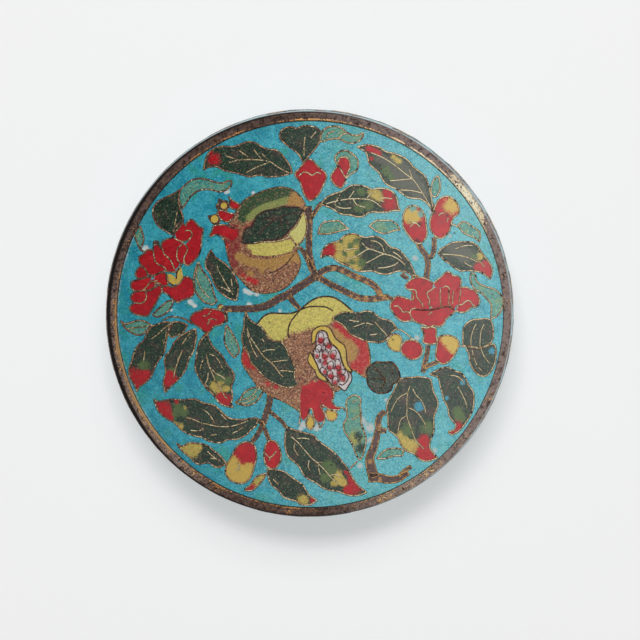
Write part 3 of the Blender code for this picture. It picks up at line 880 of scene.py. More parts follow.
def pale_leaves():
    """The pale green leaves, and a few that are all but one with the ground."""
    pale = {"kind": "pale_leaves"}
    leaf(line(182,209, 179,200, 180,191, 185,185, 191,180.5, 199,178.5, 208,180, 216,182.5, 223,183,
        228,181, 231.5,181, 231,186, 226,190, 219,192, 212,190, 204,189.5, 197,191.5, 191,196, 186,203),
        **pale)
    leaf(line(321,142, 320,136, 324,129.5, 332,126.5, 340,127.5, 346,132, 353,135.5, 360,135, 363,132.5,
        363,136, 360,140.5, 353,143.5, 346,142.5, 340,139.5, 333,139, 326,140.5),
        line(327,138, 328,134, 334,131), line(337,139, 341,136, 344,134, 348,134), **pale)
    leaf(line(140,226, 136,230, 134,235, 136,241, 138,246, 140,250, 141,247, 143,242, 143,236, 141,230),
        **pale)
    leaf(line(173,301, 168,301, 164,304, 159,308, 155,312, 152,315, 156,317, 162,315.5, 167,312, 171,307),
        **pale)
    leaf(line(120,321, 124,324, 130,323, 136,321, 142,321, 147,323, 151,325.5, 146,331, 141,335, 135,335,
        129,332, 124,328), line(127,329, 133,328, 140,327.5, 149,326), dark=[(122,323,4)], **pale)
    leaf(line(198,262, 195,270, 193.5,280, 194,289, 198,296, 204,302, 212,305, 217,301, 215,298, 213,291,
        211,284, 207,277, 202,270), line(198,266, 196,276, 199,285, 204,293, 210,298), **pale)
    leaf(line(318,234, 320,227, 323,223, 328,221.5, 334,221, 339,221, 343,224, 347,228, 349,229, 346,229.5,
        340,231, 333,233, 326,234), **pale)
    leaf(line(369,226, 373,223, 377,220.5, 383,220.5, 390,220.5, 395,223, 398,226, 400,230, 395,230.5,
        390,232, 384,233.5, 378,232, 373,229), **pale)
    leaf(line(438,176, 434,179, 431.5,185, 431,190, 432,196, 436,197, 438,194, 439.5,190, 440,185, 439,179),
        **pale)
    leaf(line(458,225, 462,222, 467,223, 471,226, 476,229, 479,232, 480,237, 479,242, 475,238, 470,236,
        465,234, 461,230), **pale)
    leaf(line(471,273, 475,274, 476,280, 480,284, 487,287, 494,289, 500,294, 503,301, 502,308, 498,315,
        491,319, 491,312, 491,305, 487,299, 481,293, 475,289, 471,283, 470,277), **pale)
    leaf(line(226,325, 225,332, 224,340, 226,347, 229,352, 234,358, 238,354, 239,349, 237,343, 234,337,
        230,330), **pale)
    leaf(line(235,403, 240,399, 244,393, 249,389.5, 256,387.5, 262,387, 263,391, 260,397, 255,403,
        249,405.5, 243,405.5), line(237,401, 247,399, 252,396, 256,391, 260,388),
        line(239,404, 246,403, 252,400, 256,396), **pale)
    leaf(line(350,397, 354,395, 359,397, 361,401, 360,405, 361,413, 361,420, 362,426, 365,434, 366,440,
        365,448, 363,455, 360,461, 356,455, 354,449, 351,442, 347,436, 344,430, 344,423, 347,418, 347,412,
        346,406, 347,400), line(352,403, 356,400), line(352,420, 357,417, 360,415), yellow=[(355,440,7)],
        dark=[(358,436,4), (361,448,5)], **pale)
    leaf(line(377,459, 381,454, 386,450, 393,448.5, 399,449, 404,451, 402,456, 397,456, 391,457, 385,459),
        **pale)
    draw(line(140,250, 144,252), line(451,224, 459,227), line(350,469, 357,462),
        line(163,320, 170,317, 178,317.5, 186,320, 191,324), half=OUTLINE_HALF, heap="outline_wires")


def left_flower():
    """The red flower at the left: petals in three tiers over a yellow throat."""
    petals("red_cells", (
        line(177,238, 176,232, 178,226, 182,223.5, 184,227, 186,231, 190,231.5, 191,235, 188,238, 184,240),
        line(186,228, 188,222, 192,221, 196,225, 201,228.5, 200,236, 200,244, 199,251, 195,258, 190,262,
             186,264, 185,262, 183,258, 184,253, 186,248, 187,244, 190,241, 192,236, 191,231),
        line(181,246, 184,245, 186,249, 184,254, 183,259, 181,264, 177,258, 176,252, 178,248),
        line(168,240, 172,239, 178,241, 181,245, 177,250, 176,256, 178,261, 178,265, 174,269, 172,263,
             170,259, 165,254, 162,251, 162,245),
        line(155,246, 159,246, 162,250, 165,254, 170,259, 172,264, 174,269, 173,272, 166,270, 163,266,
             158,263, 154,260, 153,256, 154,251),
        line(147,251, 152,250, 153,256, 154,261, 158,264, 164,268, 160,272, 154,274.5, 150,274, 147,272,
             145,268, 142,265, 139,262, 140,257, 144,255),
        line(139,269, 142,268, 145,271, 146,275, 143,277, 138,277.5, 136,274, 137,271),
        line(150,278, 144,279, 138,281, 132,283, 131,287, 135,290, 141,290, 145,287, 148,282),
        line(157,280, 151,281, 148,285, 145,289, 149,290, 153,286, 156,284),
        line(155,277, 160,274, 164,274, 166,277, 167,281, 166,285, 162,286, 159,283, 156,281),
        line(145,291, 139,292, 134,294, 131,298, 134,301, 140,303, 144,301, 145,296),
        line(159,285, 154,289, 148,291, 145,296, 143,302, 136,304, 130.5,308, 133,312, 139,314, 146,315,
             150,309, 154,303, 157,297, 160,290),
        line(162,288, 167,287, 172,288, 178,285.5, 182,281, 184,278, 188,278.5, 192,283, 193,289, 191,295,
             186,297, 181,299, 177,301, 173,298, 169,294, 164,291),
    ), (
        line(173,237, 174.5,229, 178,224, 182,222, 185,226, 187,222.5, 191.5,219.5, 196,223.5, 199,227,
             203,229, 201.5,238, 201,247, 198.5,255, 193,261.5, 187.5,265.5, 182.5,263, 180,267, 175,272,
             166,271.5, 160,272.5, 154,275.5, 148,274.5, 144.5,269, 139.5,263.5, 138.5,257.5, 144,253.5,
             147,250, 152.5,250, 153.5,245.5, 158,245, 161,249, 161.5,243, 166,239.5),
        line(138,268, 142,267, 145.5,270.5, 147,275.5, 143,278.5, 137.5,278.5, 135,274),
        line(153.5,276.5, 158,273.5, 164,273, 167,278, 167,285, 162,286, 157,283, 153,288, 149,291, 144,290,
             140,291, 134,291, 130.5,287, 131.5,282, 138,279.5, 145,277.5, 151,277),
        line(160.5,285, 154,288, 148,290.5, 139,291, 133,293, 130,298, 132.5,303, 129,308, 132,313, 139,315.5,
             147,316, 151,310, 155.5,303, 158.5,297, 161.5,291),
        line(161,288, 167,286, 172,287, 178,284.5, 182,280, 184,277, 189,277.5, 193.5,282.5, 194.5,289,
             192.5,296, 186,299, 181,300.5, 177,302.5, 172,299, 168,295, 163,292),
    ), (
        line(153,250, 153.5,256, 154.5,261, 158,264.5, 164,267.5, 166,270.5),
        line(162,249, 164,254, 167,257, 170,260, 172,264, 174,269),
        line(183,244, 180,246, 177.5,249, 176.5,254, 177,259, 180,264),
        line(181,241, 184,244, 187,248, 186.5,252, 184.5,256, 183.5,260, 185,264),
        line(185,231, 188,230.5, 191,231.5, 191.5,236, 188,240, 183,241.5, 178,240.5, 173,237.5),
        line(157,281, 150,282, 147,286, 143,290), line(154,283.5, 160,283.5),
        line(145,292, 146,296, 144.5,301, 140,303.5, 134,303),
    ))
    fill("yellow_cells", line(166,275, 171,274.5, 175,278, 176,283, 172,285, 168,281), wire=None)
    fill("yellow_cells", line(176,271, 178,268, 181,267.5, 182,273, 183,277, 181,282, 176,285, 175,278),
        wire=None)
    draw(line(176,279, 176.5,273, 179,268), line(166,274, 166,279, 169,283, 174,286), heap="dark_wires")
    fill("branches", line(153,243, 155,241, 158,242, 158,245, 154,245))


def right_flower():
    """The red flower at the right: spread petals over a short tube."""
    petals("red_cells", (
        line(407,288, 410,282, 414,280, 421,279.5, 428,281, 432,284, 431,288, 428,292, 427,298, 429,304,
             428,308, 423,308, 422,304, 418,300, 416,296, 416,291, 412,290),
        line(413,292, 416,292, 416,297, 420,301, 423,306, 421,309, 417,306, 414,302, 412,298),
        line(391,306, 394,300, 397,297, 402,298, 408,300, 412,302, 416,306, 417,309, 412,310, 408,312,
             404,312, 401,309, 397,306, 393,306),
        line(392,308, 397,307, 400,310, 404,312.5, 409,313, 411,317, 409,320, 404,320, 399,317, 395,313),
        line(411,313, 413,309.5, 418,309, 425,310, 431,309.5, 438,307.5, 446,306, 452,308, 454,310, 450,314,
             445,318, 443,322, 440,325, 434,325, 428,325.5, 424,324, 418,322, 414,319),
        line(435,282, 440,279, 444,275, 448,273, 452,275, 457,277, 460,281, 459,286, 457,290, 452,291,
             447,288, 443,286, 438,287, 435,285),
        line(430,291, 435,289, 439,289, 440,295, 440,302, 439,307, 434,309, 431,305, 429,300, 429,295),
        line(441,289, 445,288, 448,289, 448,298, 448,305, 442,307, 441,299),
        line(449,289, 454,290, 457,298, 456,304, 453,308, 450,303, 449,297),
        line(457,290, 460,289, 465,288, 470,290, 474,292, 477,297, 478,302, 475,306, 471,303, 467,301,
             462,303, 458,305),
        line(457,310, 458,306, 463,304, 467,301, 470,302, 471,306, 466,310, 461,311.5),
    ), (
        line(405.5,287, 408,282, 412,279, 419,277.5, 427,279, 433,283, 437,280, 442,276, 446,272, 450,272.5,
             453,275.5, 458,276.5, 461,280.5, 460.5,287, 466,287, 470,289, 475,291, 478,296, 479.5,302,
             476,307, 471,307.5, 467,311, 461,312.5, 456,311, 451,315, 446,319, 443.5,324, 439,326.5,
             434,325.5, 429,327, 424,325, 417,322.5, 412.5,320.5, 404,321.5, 398,318.5, 393.5,313, 390,306,
             393,300, 396.5,296.5, 402,297, 408,299, 412.5,300, 413.5,296, 411.5,291.5),
    ), (
        line(393.5,306.5, 398,306, 401,309, 403,312, 407,311.5, 410,313),
        line(416,308, 412,309, 410,312, 411,316, 414,320.5),
        line(408,289.5, 413,289.5, 416,291, 416.5,296, 419,300, 422,303, 423,307),
        line(435,287, 431,290, 427.5,292, 427.5,296, 429.5,300, 429,304, 432,308),
        line(443,287.5, 445,286, 448,287, 450,289.5),
        line(457,309, 458,305, 462,304.5, 466,301, 470,301, 472,304, 475,306),
        line(432,312, 428.5,314.5),
    ))
    draw(line(440.5,289, 440,296, 440.5,302, 441,307), line(448.5,290, 449,297, 448.5,303, 452,308),
        line(453.5,291, 452.5,297, 452.5,304), line(460.5,290, 460,296, 458.5,303), heap="outline_wires",
        half=OUTLINE_HALF * 0.8)
    draw(line(415,309.5, 422,310, 430,310, 436,309, 441,307.5, 448,306.5, 454,309.5), heap="dark_wires",
        half=OUTLINE_HALF * 0.8)
    fill("red_cells",
        line(421,327, 426,328, 432,327, 436,329, 436,336, 437,342, 433,344, 428,344, 423,342, 424,336,
        423,331))
    fill("branches", line(412,276, 415,275, 418,276, 418,279, 413,280))


def buds():
    """Buds and small flowers, each a red or yellow cell with its waist and petals in wire."""
    fill("red_cells",
        line(308,159.5, 313,161, 317,166, 322,170, 326,174, 326,179, 323,186, 319,194, 314,199, 309,200.5,
        304,194, 302,188, 300,182, 296,177, 295,173, 299,169, 303,164))
    fill("pale_leaves",
        line(335,160, 337,154, 344,150.5, 351,153, 357,159, 358,166, 356,171, 350,174.5, 346,178, 341,170))
    fill("red_cells",
        line(338,163, 340,158, 346,157.5, 349,161, 350,167, 348,172, 346,178, 344,184, 341,188, 336,186,
        332,181, 331,176, 334,171, 337,167))
    fill("red_cells",
        line(190,318, 194,313, 200,311, 205,308.5, 211,309, 217,310, 223,312, 225,317, 225,321, 220,325,
        214,326, 211,330, 207,333, 203,331, 200,328, 195,325, 191,322))
    fill("yellow_cells", line(218,306, 221,304.5, 223,307, 221,309.5, 218,309))
    fill("red_cells",
        line(403,226, 403,216, 406,209, 411,206, 417,206.5, 422,211, 425,217, 426,226, 427,233, 425,239,
        420,243.5, 414,242, 409,236, 405,230), yellow=[(408,217,5), (415,218,5), (412,213,5)],
        pale=[(413,208,3.5), (421,214,3)], dark=[(417,242,3), (419,224,2)])
    fill("red_cells",
        line(433,212, 437,202, 443,197, 450,197, 456,202, 459,209, 458,214, 453,218, 451,224, 449,231,
        445,236, 440,238.5, 434,235, 430,228, 430,220), yellow=[(451,206,7)],
        dark=[(434,212,2), (447,215,1.5)])
    fill("yellow_cells",
        line(387,342, 390,337, 394,334, 399,335, 402,340, 401,346, 400,351, 395,351, 390,348))
    fill("red_cells",
        line(402,345, 406,341, 412,340, 418,342, 422,347, 422,353, 418,358, 411,359.5, 405,356, 401,351))
    fill("red_cells",
        line(438,338, 437,345, 436,352, 436,358, 439,362, 443,364, 448,362, 453,357, 457,350, 459,344,
        457,339, 452,336, 446,335, 441,336), yellow=[(452,342,7), (446,338,4.5), (455,348,5)])
    fill("red_cells",
        line(243,443, 249,442.5, 254,446, 256,452, 256,460, 254,467, 252,474, 249,480, 243,484, 237,484,
        230,481, 226,476, 225,470, 227,464, 230,459, 233,453, 237,447),
        yellow=[(231,463,6), (232,474,8), (243,476,9), (250,470,5)])
    fill("red_cells",
        line(267,443, 271,441, 276,443, 279,448, 281,455, 280,462, 276,468, 271,469.5, 266,466, 264,459,
        264,451))
    draw(line(299,176, 303,172.5, 308,173, 312,175.5, 317,172.5, 321,174), line(207,316, 203,316),
        line(208,315, 211,311), line(208,320, 212,319, 216,320), line(207,325, 209,321),
        line(408,220, 411,222.5, 416,222), line(410,227, 415,223, 420,227),
        line(438,216, 441,213.5, 444,213), line(448,218, 447,222),
        line(396,329, 403,331, 409,336, 414,340, 417,342), line(237,463, 239,469, 236,471),
        line(265,454, 270,458, 276,452), line(270,458, 269,461))


def upper_fruit():
    """The whole pomegranate: dark green above, speckled brown below, with a three-lobed red crown."""
    fill("pomegranates",
        line(241,204, 245,200, 252,196, 260,192.5, 270,189, 280,187.5, 290,189, 297,193.5, 302,199, 305,206,
        306,218, 306,232, 303,240, 297,247, 297,252, 300,260, 300,266, 297,274, 292,281, 286,287, 278,291,
        268,293, 258,292.5, 250,289, 244,283, 239,277.5, 234,272, 230,264, 228,257, 226.5,250, 225,243,
        223.5,236, 229,224, 236,212),
        green=[(248,203,6), (256,199,6), (264,196,6), (272,193,6), (280,192,6), (287,193,5), (245,211,6),
        (242,219,4), (252,208,5), (260,203,5), (272,200,5), (282,198,4)],
        light=run(2.8, 249,218, 256,212, 265,207, 276,204, 288,200),
        ochre=[(294,197,4), (299,203,4), (291,202,3), (262,270,3), (250,274,3), (274,268,3)] + run(3.2,
        238,256, 248,262, 262,264, 278,262, 292,257, 299,259),
        yellow=run(3.0, 250,246, 260,245, 272,247, 284,245, 293,243) + run(2.2, 254,252, 266,253, 280,252,
        290,249),
        ruddy=[(229,231,5), (235,229,4), (232,238,7), (235,247,5), (229,247,5), (231,256,5), (234,265,4),
        (240,272,3), (253,224,3), (247,229,3)], red=[(249,279,3), (255,282,3), (227,246,2), (243,275,2)])
    fill("yellow_cells",
        line(304,212, 306,218, 307,226, 306,233, 303,240, 297,246, 295,243, 291,238, 288,235, 291,230,
        295,227, 299,220, 302,214), pale=[(300,224,8), (297,235,8)])
    fill("red_cells",
        line(228.5,196.5, 230,201, 229.5,206, 233,209, 238,209.5, 241,206, 236,202.5, 231.5,200),
        rounded=False)
    fill("branches", line(219,198.5, 222,201, 227,201.5, 229,206, 226,210.5, 220,210, 216,207, 218.5,203),
        rounded=False)
    fill("red_cells", line(218,211, 224,211, 230,213.5, 235,214, 232,219, 227,222, 221,219.5, 218,215))
    fill("branches", line(208,216, 212,216, 217,214.5, 220,218, 219,223, 214,224, 210.5,221), rounded=False)
    fill("red_cells",
        line(209.5,236, 212,231, 213,226.5, 218,225, 225,225, 231,227, 236,229, 238,236, 232,240, 224,236.5,
        216,234.5), rounded=False, wire=None, raised=3)
    draw(line(223.5,240, 221,236.5, 216,234.5, 209.5,236.5, 212,231, 213,226.5, 218,225, 225,225, 231,227,
        235,229), half=OUTLINE_HALF, heap="outline_wires")
    for x, y, radius in ((223.8, 205.8, 3.2), (214.4, 219.1, 3.8)):
        fill("yellow_cells", circle(x, y, radius, radius), wire=None)
    draw(line(250,244, 260,242, 270,242, 282,240, 291,236), line(295,247, 300,247))
    draw(line(268,274, 278,270, 287,263, 294,254), half=VEIN_HALF * 0.7, heap="dark_wires")


def opened_fruit():
    """The split pomegranate: yellow shoulders, speckled skin, an open window of seeds and a red crown."""
    fill("pomegranates",
        line(246,335, 250,328, 258,323, 263,317, 270,313.5, 279,313.5, 290,313.5, 300,310, 308,303, 317,298,
        326,296.5, 335,298, 343,303, 350,309, 356,316, 361,328, 366,340, 369,350, 370,360, 369,368, 366,377,
        360,374, 353,370, 350,376, 346,384, 339,390, 325,395, 312,400, 300,411, 296,409, 288,404, 280,400,
        272,397, 266,393, 261,389, 257,386, 253,380, 248,373, 244,367, 241.5,360, 243,348),
        yellow=[(262,324,6), (270,322,8), (280,325,9), (277,334,7), (290,320,8), (296,317,7), (304,313,8),
        (310,318,9), (318,308,10), (320,318,7), (327,313,8), (330,304,8), (338,308,8), (346,311,6),
        (298,324,7)],
        ochre=[(337,331,4), (343,337,5), (349,342,5.5), (352,349,5.5), (352,357,4.5), (346,347,4),
        (256,328,4), (262,334,3)],
        red=[(336,325,3), (342,329,3.5), (348,334,4), (355,337,4.5), (362,343,5), (366,352,5.5),
        (362,361,5.5), (355,367,4.5), (360,372,4), (366,360,4), (246,357,5), (249,363,5), (255,367,3),
        (268,384,2.5), (276,387,2.5), (312,384,3), (304,388,2.5), (321,381,3)])
    draw(line(300,310, 308,307, 316,306.5, 325,307, 330,309, 333,311),
        line(300,310, 295,316, 290,323, 288,332, 289,338),
        line(256,325, 263,317, 270,313.5, 279,313.5, 290,313.5, 300,310, 308,303, 317,298, 326,296.5,
        335,298, 343,303, 350,309), heap="dark_wires")
    for band in (
        line(312,345, 311.5,336, 312.5,331, 316,328, 320,326, 325.5,326, 329.5,328, 332,331.5, 333.5,335,
             335.5,338.5, 340,342, 344,345, 346,349.5, 346.5,355, 346.5,360, 348,365, 352.5,371.5, 349,372,
             345,368, 342,361, 340.5,355, 339,351, 336,347, 331.5,343.5, 329,340, 328,336, 326.5,332.5,
             324,331, 320,331, 317,333, 316,337, 315.5,341),
        line(310,352, 308.5,356, 307.5,360, 309,364, 312,367.5, 315,371, 316,375, 318.5,378.5, 322,380.5,
             328,382, 325.5,377.5, 322.5,375, 319.5,372, 318,368, 317,364, 314,359, 312,355),
    ):
        fill("yellow_cells", band, rounded=False, wire=None)
        ring(band, "dark_wires", VEIN_HALF * 0.8)
    seeds()
    split_crown()


def seeds():
    """The window of seeds: pale, each seed an ellipse of dark wire with a red end."""
    window = line(317,334, 320,330.5, 324.5,331, 327.5,335, 328.5,340, 331.5,344, 336,348, 339,352,
                  340.5,357, 342,363, 345,369, 350,373, 352,377, 351,382, 348.5,386, 345,391, 341,388.5,
                  338,386, 334,386, 330.5,383, 327,378.5, 322.5,374.5, 319.5,371, 318,367, 314.5,360,
                  313,354, 313.5,350, 316,346, 316,339)
    # Where each seed lies, its red end and how big that is
    ends = (
        (321,334.5, 321,340.5,3), (327,340, 326,343,0), (319,347, 318,350,0), (328,350, 328.7,346,3),
        (334,352.3, 332.3,356.5,3), (316.3,351.3, 317,356.4,2), (326,352, 324.6,356,3),
        (337.5,361.6, 338.5,367.8,3), (331,363.5, 329.7,368,2.6), (324.5,366, 325,363,2.5),
        (322.5,369.9, 324.6,372.3,2), (329.7,373, 330.8,376.5,3), (343,371.5, 339.5,374,3),
        (335.4,378.6, 334.9,383,2.6), (341,376, 343,379,3),
    )
    fill("seeds", window, wire=None, red=[end[2:] for end in ends if end[4]],
        dark=[(324,345,2), (322,351,2), (320,361,2), (334,359,2), (327,376,2), (338,381,2), (334,368,2)])
    ring(smooth(window, closed=True), "dark_wires", VEIN_HALF * 0.8)
    for x, y, red_x, red_y, _ in ends:
        tall = math.hypot(red_x - x, red_y - y) / 2 + 2.4
        seed = circle((x + red_x) / 2, (y + red_y) / 2, tall, 2.9, math.atan2(red_y - y, red_x - x))
        ring(smooth(seed, closed=True), "dark_wires", VEIN_HALF * 0.6)
    draw(line(347,372, 349,376, 347,381, 343,385, 339,384), half=VEIN_HALF * 0.8, heap="dark_wires")


def split_crown():
    """The open fruit's crown: one red mass with three points, between two yellow lozenges."""
    for raised, part in enumerate((
        line(300,398, 301,392, 303,387, 308,385, 313,384, 317,382, 323,382, 328,384.5, 331,388, 333,394,
             332,400, 328,406, 318,409, 308,408, 302,404),
        line(301,402, 300.5,410, 301,417, 303.5,420.5, 306.5,418, 308.5,414, 309,408, 310,403),
        line(312,404, 313,411, 314.5,417, 317,420.5, 320,422.5, 323,421, 324.5,417, 323,412, 321,406,
             320,402),
        line(322,402, 326,406.5, 331,409.5, 336,410, 341,408.5, 336,405.5, 333,402, 331,398),
    )):
        fill("red_cells", part, wire=None, raised=3 + raised)
    draw(line(329,384.5, 332,388.5, 333.8,393, 333.5,398, 332,401, 334,405, 338,407.5, 343,408, 345,411),
        line(340,410, 332,410, 327,408, 323,405.5, 320.5,406, 322.5,410, 325,414, 325,419, 323,424, 320,428,
        318.5,423.5, 314,418, 312.5,411, 310.5,408.5, 309,411, 308.5,415, 305,420),
        line(298,409, 300,412, 300,418, 299,425), half=OUTLINE_HALF, heap="outline_wires")
    fill("yellow_cells", line(326,411, 330,410.5, 335,411.5, 337.5,415, 335.5,419.5, 331,421, 327,418.5))
    fill("yellow_cells", line(310,415, 313,418.5, 314.5,423, 313,427.5, 310,430, 307,427, 306,423, 308,419))


# Chalky blooms in the ground, mostly where wires meet it, as blobs x, y and radius
CHALK = [
    (190,302,3), (250,293,3), (245,291,2.5), (257,294,2.5), (249,305,3), (370,428,5), (227,192,3),
    (253,193,2), (195,306,2.5), (145,249,4), (303,425,4), (317,428,4), (415,258,3), (417,338,3),
    (430,212,2.5), (280,311,2), (365,442,2.5), (360,466,3), (386,400,2), (435,451,3), (325,222,2),
    (171,310,2), (383,338,2), (450,236,2), (346,183,2), (300,430,2), (362,420,4), (371,440,3),
]


def picture():
    """The lid's ground and everything on it."""
    branches()
    dark_leaves()
    pale_leaves()
    left_flower()
    right_flower()
    buds()
    upper_fruit()
    opened_fruit()
    for name, material in (
        ("branches", bark), ("pale_leaves", pale_green), ("pomegranates", fruit_skin),
        ("yellow_cells", warm_yellow), ("red_cells", coral_red), ("dark_leaves", leaf_green),
        ("seeds", seed_white),
    ):
        heaps[name].piece("lid_" + name, material, "turquoise_enamel")
    heaps["outline_wires"].piece("lid_outline_wires", outline_wire, "gilt_copper")
    heaps["vein_wires"].piece("lid_vein_wires", vein_wire, "gilt_copper")
    heaps["bark_wires"].piece("lid_bark_wires", bark_wire, "gilt_copper")
    heaps["dark_wires"].piece("lid_seed_wires", dark_wire, "gilt_copper")


# Turned pieces

def turned(heap, profile, steps=TURN_STEPS, off_centre=None):
    """A profile (radius, height) carried round Z. It starts and ends on the axis, or closes on itself.
    Where off_centre says so, a point's radius grows with the cosine of the angle."""
    on_axis = profile[0, 0] == 0.0
    body = profile[1:-1] if on_axis else profile
    angle = np.linspace(0.0, math.tau, steps, endpoint=False)[None, :]
    radius = np.repeat(body[:, :1], steps, axis=1)
    if off_centre is not None:
        radius = radius + (off_centre[1:-1] if on_axis else off_centre)[:, None] * np.cos(angle)
    height = np.repeat(body[:, 1:], steps, axis=1)
    rings = np.stack([radius * np.cos(angle), radius * np.sin(angle), height], axis=-1)
    places = rings.reshape(-1, 3)
    if on_axis:
        axis = np.zeros((2, 3))
        axis[:, 2] = profile[[0, -1], 1]
        places = np.vstack([places, axis])
    heap.add(places, ring_faces(len(body), steps, joined=not on_axis))


def arc(centre, radius, start, end, count):
    """Points of a circular arc, angles in degrees."""
    angle = np.radians(np.linspace(start, end, count))
    return np.column_stack([centre[0] + radius * np.cos(angle), centre[1] + radius * np.sin(angle)])


def shell_profile(mouth, crest, mouth_line):
    """A drum's metal shell in (radius, height): bed, rounded rim, side with a recess, mouth and inside. The
    rim's top falls a little toward the enamel."""
    up = 1.0 if crest > mouth else -1.0
    tall = abs(crest - mouth)
    bed = tall - RIM_PROUD - ENAMEL_THICK
    ceiling = bed - METAL_THICK

    def side(low, high, inset, count=12):
        heights = np.linspace(low, high, count)
        return np.column_stack([side_radius(heights, 0.0, tall) - inset, heights])

    corner_foot = ceiling - CORNER_RADIUS
    corner = (side_radius(corner_foot, 0.0, tall) - WALL_THICK - CORNER_RADIUS, corner_foot)
    parts = [
        [(0.0, bed), (FIELD_RADIUS - 0.002, bed), (FIELD_RADIUS, bed),
         (FIELD_RADIUS, tall - RIM_PROUD - BED_GAP)],
        arc((FIELD_RADIUS + INNER_ROUND, tall - INNER_ROUND), INNER_ROUND, 180.0, 60.0, 6),
        [(FIELD_RADIUS + 0.0009, tall - 0.0001), (FIELD_RADIUS + 0.0012, tall - 0.00004)],
        arc((RIM_RADIUS - RIM_ROUND, tall - RIM_ROUND), RIM_ROUND, 90.0, 0.0, 7),
        side(tall - RIM_ROUND - 0.0002, tall - RIM_SIDE, 0.0, 4),
        side(tall - RIM_SIDE, BAND_HEIGHT, ENAMEL_THICK),
        side(BAND_HEIGHT, 0.0, 0.0, 5),
        mouth_line,
        side(mouth_line[-1][1], corner_foot, WALL_THICK)[1:],
        arc(corner, CORNER_RADIUS, 0.0, 90.0, 7)[1:],
        [(0.0, ceiling)],
    ]
    profile = np.vstack([np.asarray(part, dtype=float) for part in parts])
    return np.column_stack([profile[:, 0], mouth + up * profile[:, 1]])


def metal_shells():
    """The lid's and the base's metal, each one hollow body."""
    outer = RIM_RADIUS + SWELL
    lid = shell_profile(LID_MOUTH, LID_CREST, [(outer - WALL_THICK, 0.0)])
    lip_outer = outer - WALL_THICK - LIP_CLEARANCE
    lip_inner = lip_outer - LIP_THICK
    tall = BASE_MOUTH - BASE_CREST
    foot = LIP_DROP + LIP_THICK
    base = shell_profile(BASE_MOUTH, BASE_CREST, [
        (lip_outer, 0.0), (lip_outer, LIP_CHAMFER - LIP_RISE), (lip_outer - LIP_CHAMFER, -LIP_RISE),
        (lip_inner, -LIP_RISE), (lip_inner, LIP_DROP), (side_radius(foot, 0.0, tall) - WALL_THICK, foot)])
    for name, profile, off, node in (("lid_metal", lid, RIM_OFF_CENTRE, "lid_shell"),
                                     ("base_metal", base, 0.0, "base_shell")):
        crest = LID_CREST if node == "lid_shell" else BASE_CREST
        radius, depth = profile[:, 0], np.abs(profile[:, 1] - crest)
        inner_edge = (depth < RIM_PROUD + ENAMEL_THICK + 1e-6) & (radius < FIELD_RADIUS + RIM_WIDTH / 2)
        shift = np.where(inner_edge, off * np.clip(radius / FIELD_RADIUS, 0.0, 1.0) ** 8, 0.0)
        heap = Heap()
        turned(heap, profile, off_centre=shift)
        heap.values = {key: [numbers] for key, numbers in rim_wear(heap.places[0], crest, off).items()}
        heap.piece(name, rim_metal, "gilt_copper", node)


def window(value, low, high, soft):
    """1 between low and high, and down to 0 over soft beyond them."""
    return np.clip((value - low) / soft + 1, 0, 1) * np.clip((high - value) / soft + 1, 0, 1)


# How strong the gilt bead along the enamel is, how many gilt flecks the rim has and how light its patina is,
# each at angles in degrees. The patina's lightness, highest at the right, is partly a painted sheen.
BEAD = line(0,0, 20,0.1, 28,0.9, 60,1, 88,0.9, 104,0.4, 112,0.8, 128,0.7, 136,0.1, 160,0, 167,0.5, 180,0.6,
            190,1.1, 220,1.1, 226,0.4, 240,0.4, 248,0.6, 266,0.5, 274,0.2, 300,0.15, 312,0, 360,0)
FLECKS = line(0,0.5, 20,0.6, 60,0.1, 90,0.1, 150,0.1, 165,0.6, 200,0.8, 222,1, 236,0.8, 250,0.3, 261,0.7,
              268,0.6, 280,0.3, 291,1.2, 311,1.3, 316,0.4, 326,0.8, 336,0.7, 345,0.4, 360,0.5)
FAIR_AND_SHEEN = line(0,1, 50,0.95, 70,0.75, 85,0.4, 95,0.1, 130,0.1, 160,0.2, 180,0.45, 215,0.65, 232,0.6, 242,0.15,
            275,0.1, 288,0.6, 300,1, 360,1)

# The bead and the polished stretch with its painted highlight: how far out from the enamel their middles lie,
# and half their widths
BEAD_MIDDLE = 0.0003
BEAD_HALF = 0.0004
BEAD_SPREAD = 0.0002
POLISH_AND_HIGHLIGHT_MIDDLE = 0.0011
POLISH_AND_HIGHLIGHT_WAVE = 0.0002
POLISH_AND_HIGHLIGHT_HALF = 0.0010


